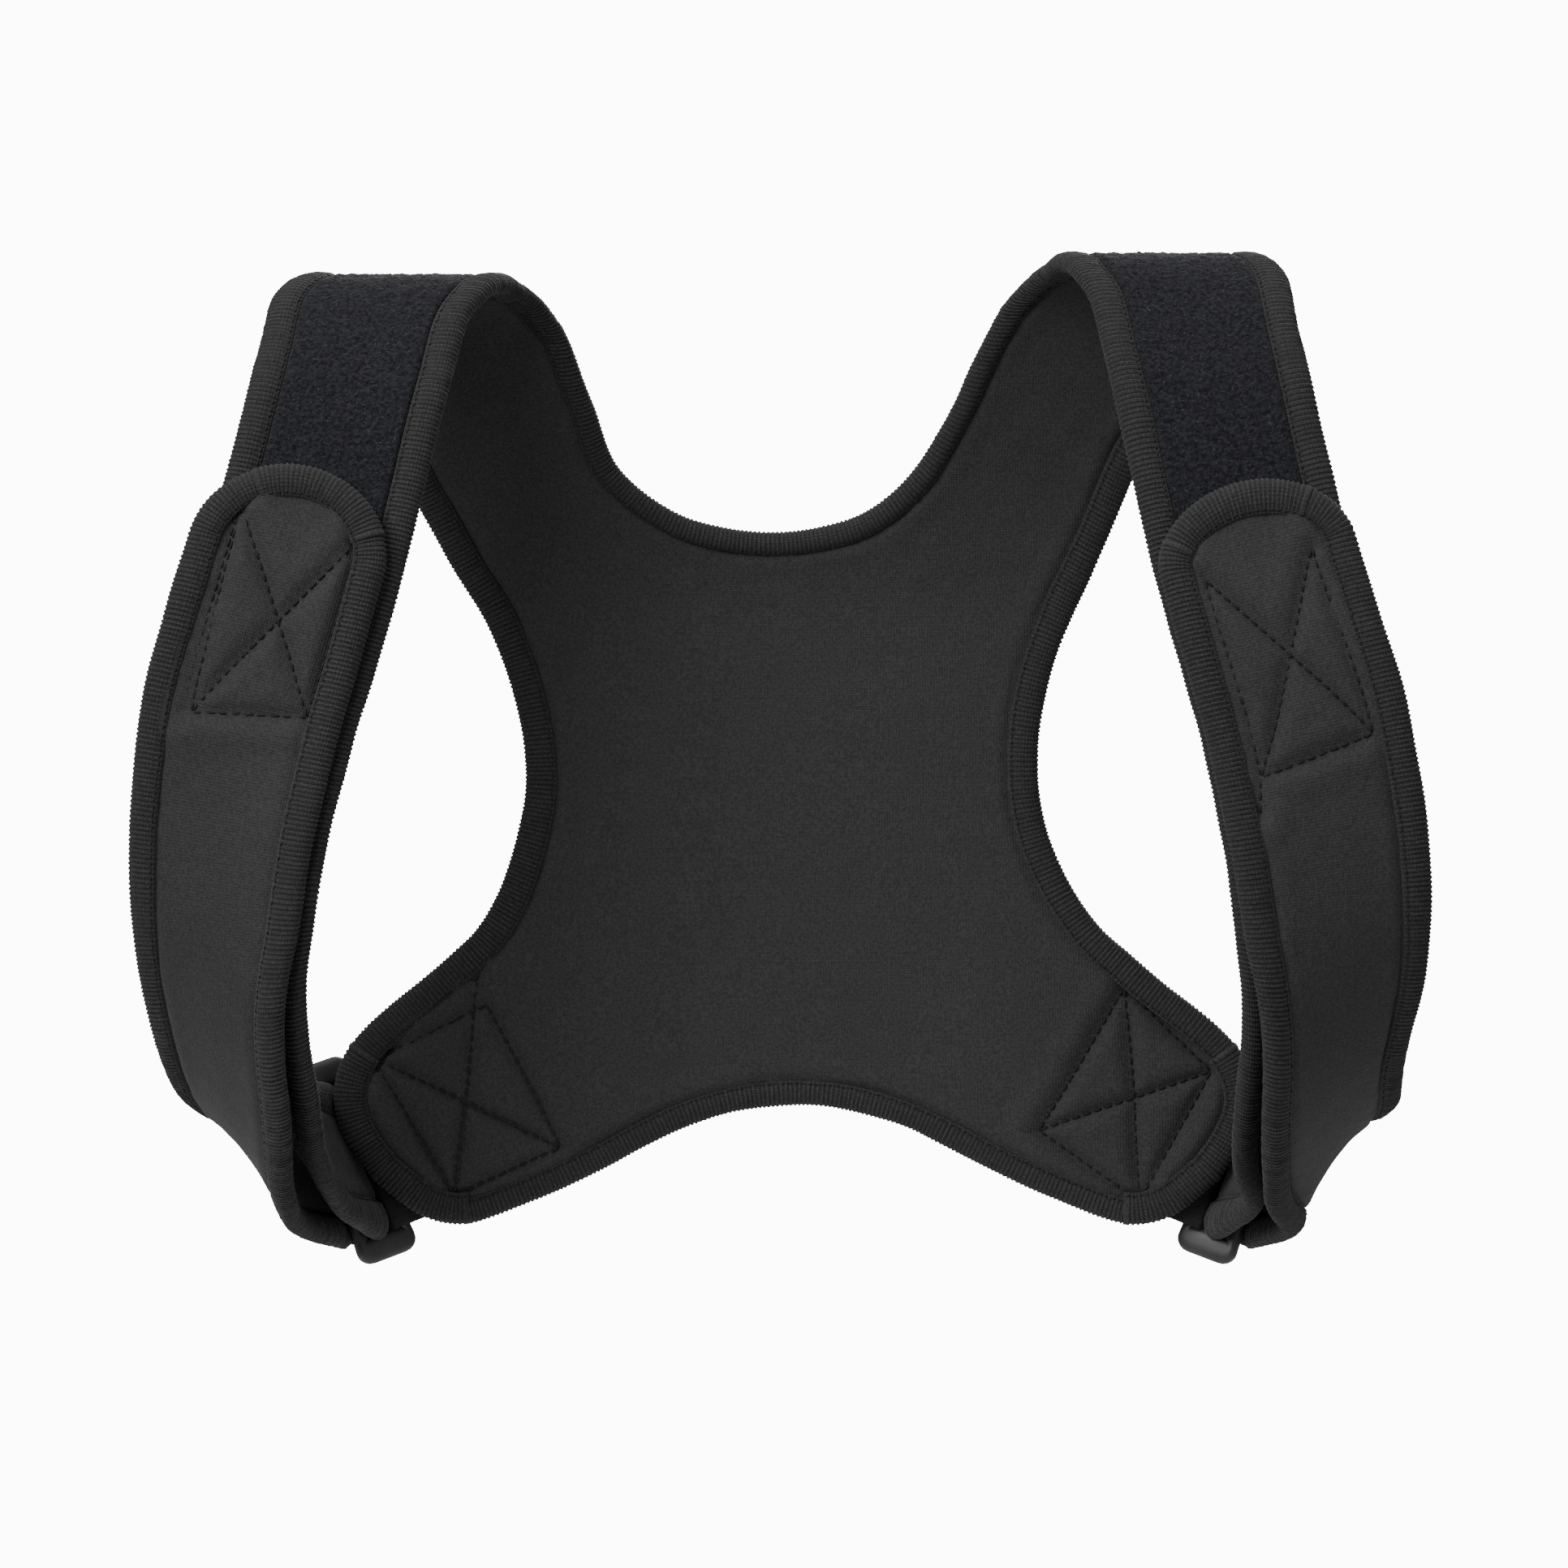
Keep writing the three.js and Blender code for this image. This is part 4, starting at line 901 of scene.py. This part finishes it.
def added(tree, kind, inputs, **settings):
    """A new node with these settings, and inputs that are values or linked from outputs."""
    node = tree.nodes.new(f"ShaderNode{kind}")
    for key, value in settings.items():
        setattr(node, key, value)
    for key, value in inputs.items():
        if isinstance(value, bpy.types.NodeSocket):
            tree.links.new(value, node.inputs[key])
        else:
            node.inputs[key].default_value = value
    return node


def noise(tree, source, scale, detail):
    return added(tree, "TexNoise", {"Vector": source, "Scale": scale, "Detail": detail}).outputs["Fac"]


def mixed(tree, fac, low, high, start=0.35, end=0.65):
    ramp = added(tree, "ValToRGB", {"Fac": fac})
    for element, at, colour in zip(ramp.color_ramp.elements, (start, end), (low, high)):
        element.position, element.color = at, (*colour, 1)
    return ramp.outputs["Color"]


def multiply(tree, a, b):
    inputs = {"Factor": 1, "A": a, "B": b}
    return added(tree, "Mix", inputs, data_type="RGBA", blend_type="MULTIPLY").outputs["Result"]


def bump(tree, shader, heights):
    """Bumps from pairs of a height output and its depth in millimetres, one on top of the other."""
    below = {}
    for height, depth in heights:
        node = added(tree, "Bump", {"Distance": depth * MM, "Height": height, **below})
        below = {"Normal": node.outputs["Normal"]}
    tree.links.new(below["Normal"], shader.inputs["Normal"])


def bands(tree, uv, period, direction, distortion=0.0):
    """Waves of a period in millimetres. The node's own wave is 0.314159 long at a scale of 1."""
    inputs = {"Vector": uv, "Scale": 0.314159 / (period * MM), "Distortion": distortion}
    return added(tree, "TexWave", inputs, wave_type="BANDS", bands_direction=direction).outputs["Fac"]


def grey(level):
    return (level, level, level)


def cloth_material(name, colour, roughness, sheen, grain, knit=None, rib=None):
    """grain is its size, contrast and depth, knit is periods along and across and depth, and rib is the pitch
    of ribs, whose valleys carry painted shade and whose crests carry painted light. Lengths are in
    millimetres."""
    size, contrast, depth = grain
    mat, tree, shader = nodes_of(name, colour, roughness, sheen, 0.45, 0.2)
    coordinates = added(tree, "TexCoord", {}).outputs
    place_at, uv = coordinates["Object"], coordinates["UV"]
    low, high = ([c * k for c in colour] for k in (1 - contrast, 1 + contrast))
    fine = mixed(tree, noise(tree, place_at, 1 / (size * MM), 1), low, high, 0.32, 0.68)
    shade = multiply(tree, fine, mixed(tree, noise(tree, place_at, 60, 2), grey(0.93), grey(1)))
    if rib:
        # Painted shade in the ribs' valleys and painted light on their crests, at the rib pitch.
        painted_rib_shade = mixed(tree, bands(tree, uv, rib, "X"), grey(1.2), grey(0.55), 0.1, 0.9)
        shade = multiply(tree, shade, painted_rib_shade)
    tree.links.new(shade, shader.inputs["Base Color"])
    heights = [(noise(tree, place_at, 1 / (size * MM), 2), depth)]
    if knit:
        heights += [(bands(tree, uv, period, axis, 0.6), knit[2]) for period, axis in zip(knit[:2], "XY")]
    bump(tree, shader, heights)
    return mat


def plastic_material():
    mat, tree, shader = nodes_of("ring_plastic", (0.014, 0.014, 0.015), 0.42, specular=0.35)
    place_at = added(tree, "TexCoord", {}).outputs["Object"]
    shade = mixed(tree, noise(tree, place_at, 90, 3), (0.011, 0.011, 0.012), (0.017, 0.017, 0.018))
    tree.links.new(shade, shader.inputs["Base Color"])
    rough = added(tree, "MapRange", {"Value": noise(tree, place_at, 160, 3), "To Min": 0.38, "To Max": 0.52})
    tree.links.new(rough.outputs["Result"], shader.inputs["Roughness"])
    bump(tree, shader, [(noise(tree, place_at, 700, 2), 0.02)])
    return mat


CLOTHS = {
    "neoprene": ((0.017, 0.017, 0.0172), 0.8, 0.04, (0.8, 0.3, 0.2), (0.9, 0.75, 0.06)),
    # The knit tape's rib pitch also sets its painted rib shade and painted rib light.
    "knit_tape": ((0.016, 0.016, 0.0162), 0.85, 0.05, (0.7, 0.35, 0.2), (0.72, 0.8, 0.1), RIB_PITCH),
    "webbing": ((0.007, 0.007, 0.0073), 0.75, 0.03, (0.6, 0.2, 0.08)),
    "loop_fabric": ((0.0055, 0.0055, 0.0078), 0.95, 0.04, (1.2, 0.8, 0.9)),
    # The standing fibres are the same yarn as the loop fabric, coloured several times lighter: painted light
    # on the fibres.
    "painted_light_loop_fibre": ((0.042, 0.042, 0.052), 0.9, 0.1, (1.4, 0.6, 0.02)),
    "thread": ((0.006, 0.006, 0.0062), 0.7, 0.02, (0.5, 0.2, 0.05)),
    "hook_tape": ((0.006, 0.006, 0.0063), 0.8, 0.0, (0.6, 0.2, 0.1)),
}
looks = {name: cloth_material(name, *values) for name, values in CLOTHS.items()}
looks["ring_plastic"] = plastic_material()


# The pieces.
def finish_piece(obj, look, nodes=()):
    obj.data.materials.append(looks[look])
    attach(obj, "root")
    if nodes:
        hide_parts(*nodes)
    return obj


def stitch_piece(name, rings):
    finish_piece(tubes_piece(name, rings, 4), "thread")


panel = finish_piece(panel_piece(), "neoprene", ["back_panel"])
neck_line = [line[::-1] for line in panel_edge(0, NECK_ROW, 0)]
tape_lines = {
    "neckline_tape": (across_middle(*neck_line), 0, ["neckline_binding"]),
    "hem_tape": (across_middle(*panel_edge(HEM_ROW, LOBE_ROW, 0)), 0, ["hem_binding"]),
}
for name, side in SIDES.items():
    tape_lines[f"armhole_tape_{name}"] = (panel_edge(0, CORNER_ROW, -1), side, [f"armhole_binding_{name}"])
    tape_lines[f"lobe_tape_{name}"] = (lobe_edge(), side, [f"lobe_binding_{name}"])
    inner_arc, own_arc, outer_arc = tongue_edge(name)
    for edge, sign, more in (("inner", -1, inner_arc), ("outer", 1, outer_arc)):
        line = [np.vstack([a, b]) for a, b in zip(strap_edge(joined(*straps[name][:3]), sign), more)]
        tape_lines[f"strap_{edge}_tape_{name}"] = (line, side, [f"strap_{edge}_binding_{name}"])
    tape_lines[f"tongue_tape_{name}"] = (own_arc, side, [f"tongue_binding_{name}"])
seams = {}
for number, (name, (lines, side, replaced)) in enumerate(tape_lines.items()):
    tape, seams[name.replace("_tape", "_seam")] = tape_piece(name, lines, side, 100 + 10 * number)
    finish_piece(tape, "knit_tape", replaced)

for name in SIDES:
    cloth = finish_piece(strap_piece(name), "neoprene", [f"shoulder_strap_{name}"])
    facing = finish_piece(loop_piece(name), "loop_fabric", [f"loop_facing_{name}"])
    # The fibres take the lighter loop colour: painted light.
    fibres = finish_piece(fibre_piece(name), "painted_light_loop_fibre")
    round(arc(loop_band(name).centre)[-1] * MM, 3)
    finish_piece(ring_piece(name), "ring_plastic", [f"ring_{name}"])
    webbing, length = webbing_piece(name)
    finish_piece(webbing, "webbing", [f"webbing_{name}"])
    stitch_piece(f"lobe_stitches_{name}", lobe_threads(name))
    stitch_piece(f"tongue_stitches_{name}", tongue_threads(name))
    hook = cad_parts[f"hook_patch_{name}"]
    hook.data.materials.clear()
    hook.data.materials.append(looks["hook_tape"])

for name, rings in seams.items():
    stitch_piece(name, rings)


# Studio: the photograph's camera, a pale round floor, white surroundings and large soft lights.
def photo_camera():
    """Level and 1.5 m in front of the panel, with the photograph's angle of view."""
    camera = bpy.data.objects.new("camera", bpy.data.cameras.new("camera"))
    bpy.context.collection.objects.link(camera)
    camera.location = (0, -1.5, 0.0112)
    camera.rotation_euler = (math.pi / 2, 0, 0)
    sensor, focal_pixels, photo_pixels = 36, 5700, 1932
    camera.data.sensor_width = sensor
    camera.data.lens = sensor * focal_pixels / photo_pixels
    camera.data.clip_end = 50
    bpy.context.scene.camera = camera


def round_floor():
    radius, back, height, corners = 0.42, -0.1, -0.3, 96
    turns = np.arange(corners) * math.tau / corners
    rim = [(radius * math.cos(t), radius * math.sin(t) + back, height) for t in turns]
    floor = bpy.data.objects.new("floor", bpy.data.meshes.new("floor"))
    floor.data.from_pydata(rim, [], [range(corners)])
    bpy.context.collection.objects.link(floor)
    floor.data.materials.append(nodes_of("floor", grey(0.7), 0.9)[0])


def white_world():
    """White as the camera sees it, and dim as a light on the piece."""
    world = bpy.data.worlds.new("studio")
    bpy.context.scene.world = world
    world.use_nodes = True
    sky = world.node_tree
    dim = sky.nodes["Background"]
    dim.inputs["Color"].default_value = (1, 1, 1, 1)
    dim.inputs["Strength"].default_value = 0.4
    seen = added(sky, "Background", {"Color": (1, 1, 1, 1), "Strength": 12.0})
    ray = added(sky, "LightPath", {})
    choice = added(sky, "MixShader", {"Fac": ray.outputs["Is Camera Ray"], 1: dim.outputs["Background"],
                                      2: seen.outputs["Background"]})
    sky.links.new(choice.outputs["Shader"], sky.nodes["World Output"].inputs["Surface"])


def area_light(name, at, size, power):
    """Round light that faces the middle of the panel."""
    light = bpy.data.objects.new(name, bpy.data.lights.new(name, "AREA"))
    light.data.shape = "DISK"
    light.data.size = size
    light.data.energy = power
    bpy.context.collection.objects.link(light)
    light.location = at
    ahead = unit(-vec(*at))
    light.rotation_euler = (math.acos(-ahead[2]), 0, math.atan2(ahead[0], -ahead[1]) + math.pi)


photo_camera()
round_floor()
white_world()
area_light("key", (-1.1, -1.65, 1.1), 1.6, 75)
area_light("fill", (1.2, -1.6, 0.1), 1.4, 5)
area_light("top", (0, -0.3, 1.7), 1.2, 20)
area_light("back", (0.6, 1.9, 1.0), 1.4, 60)
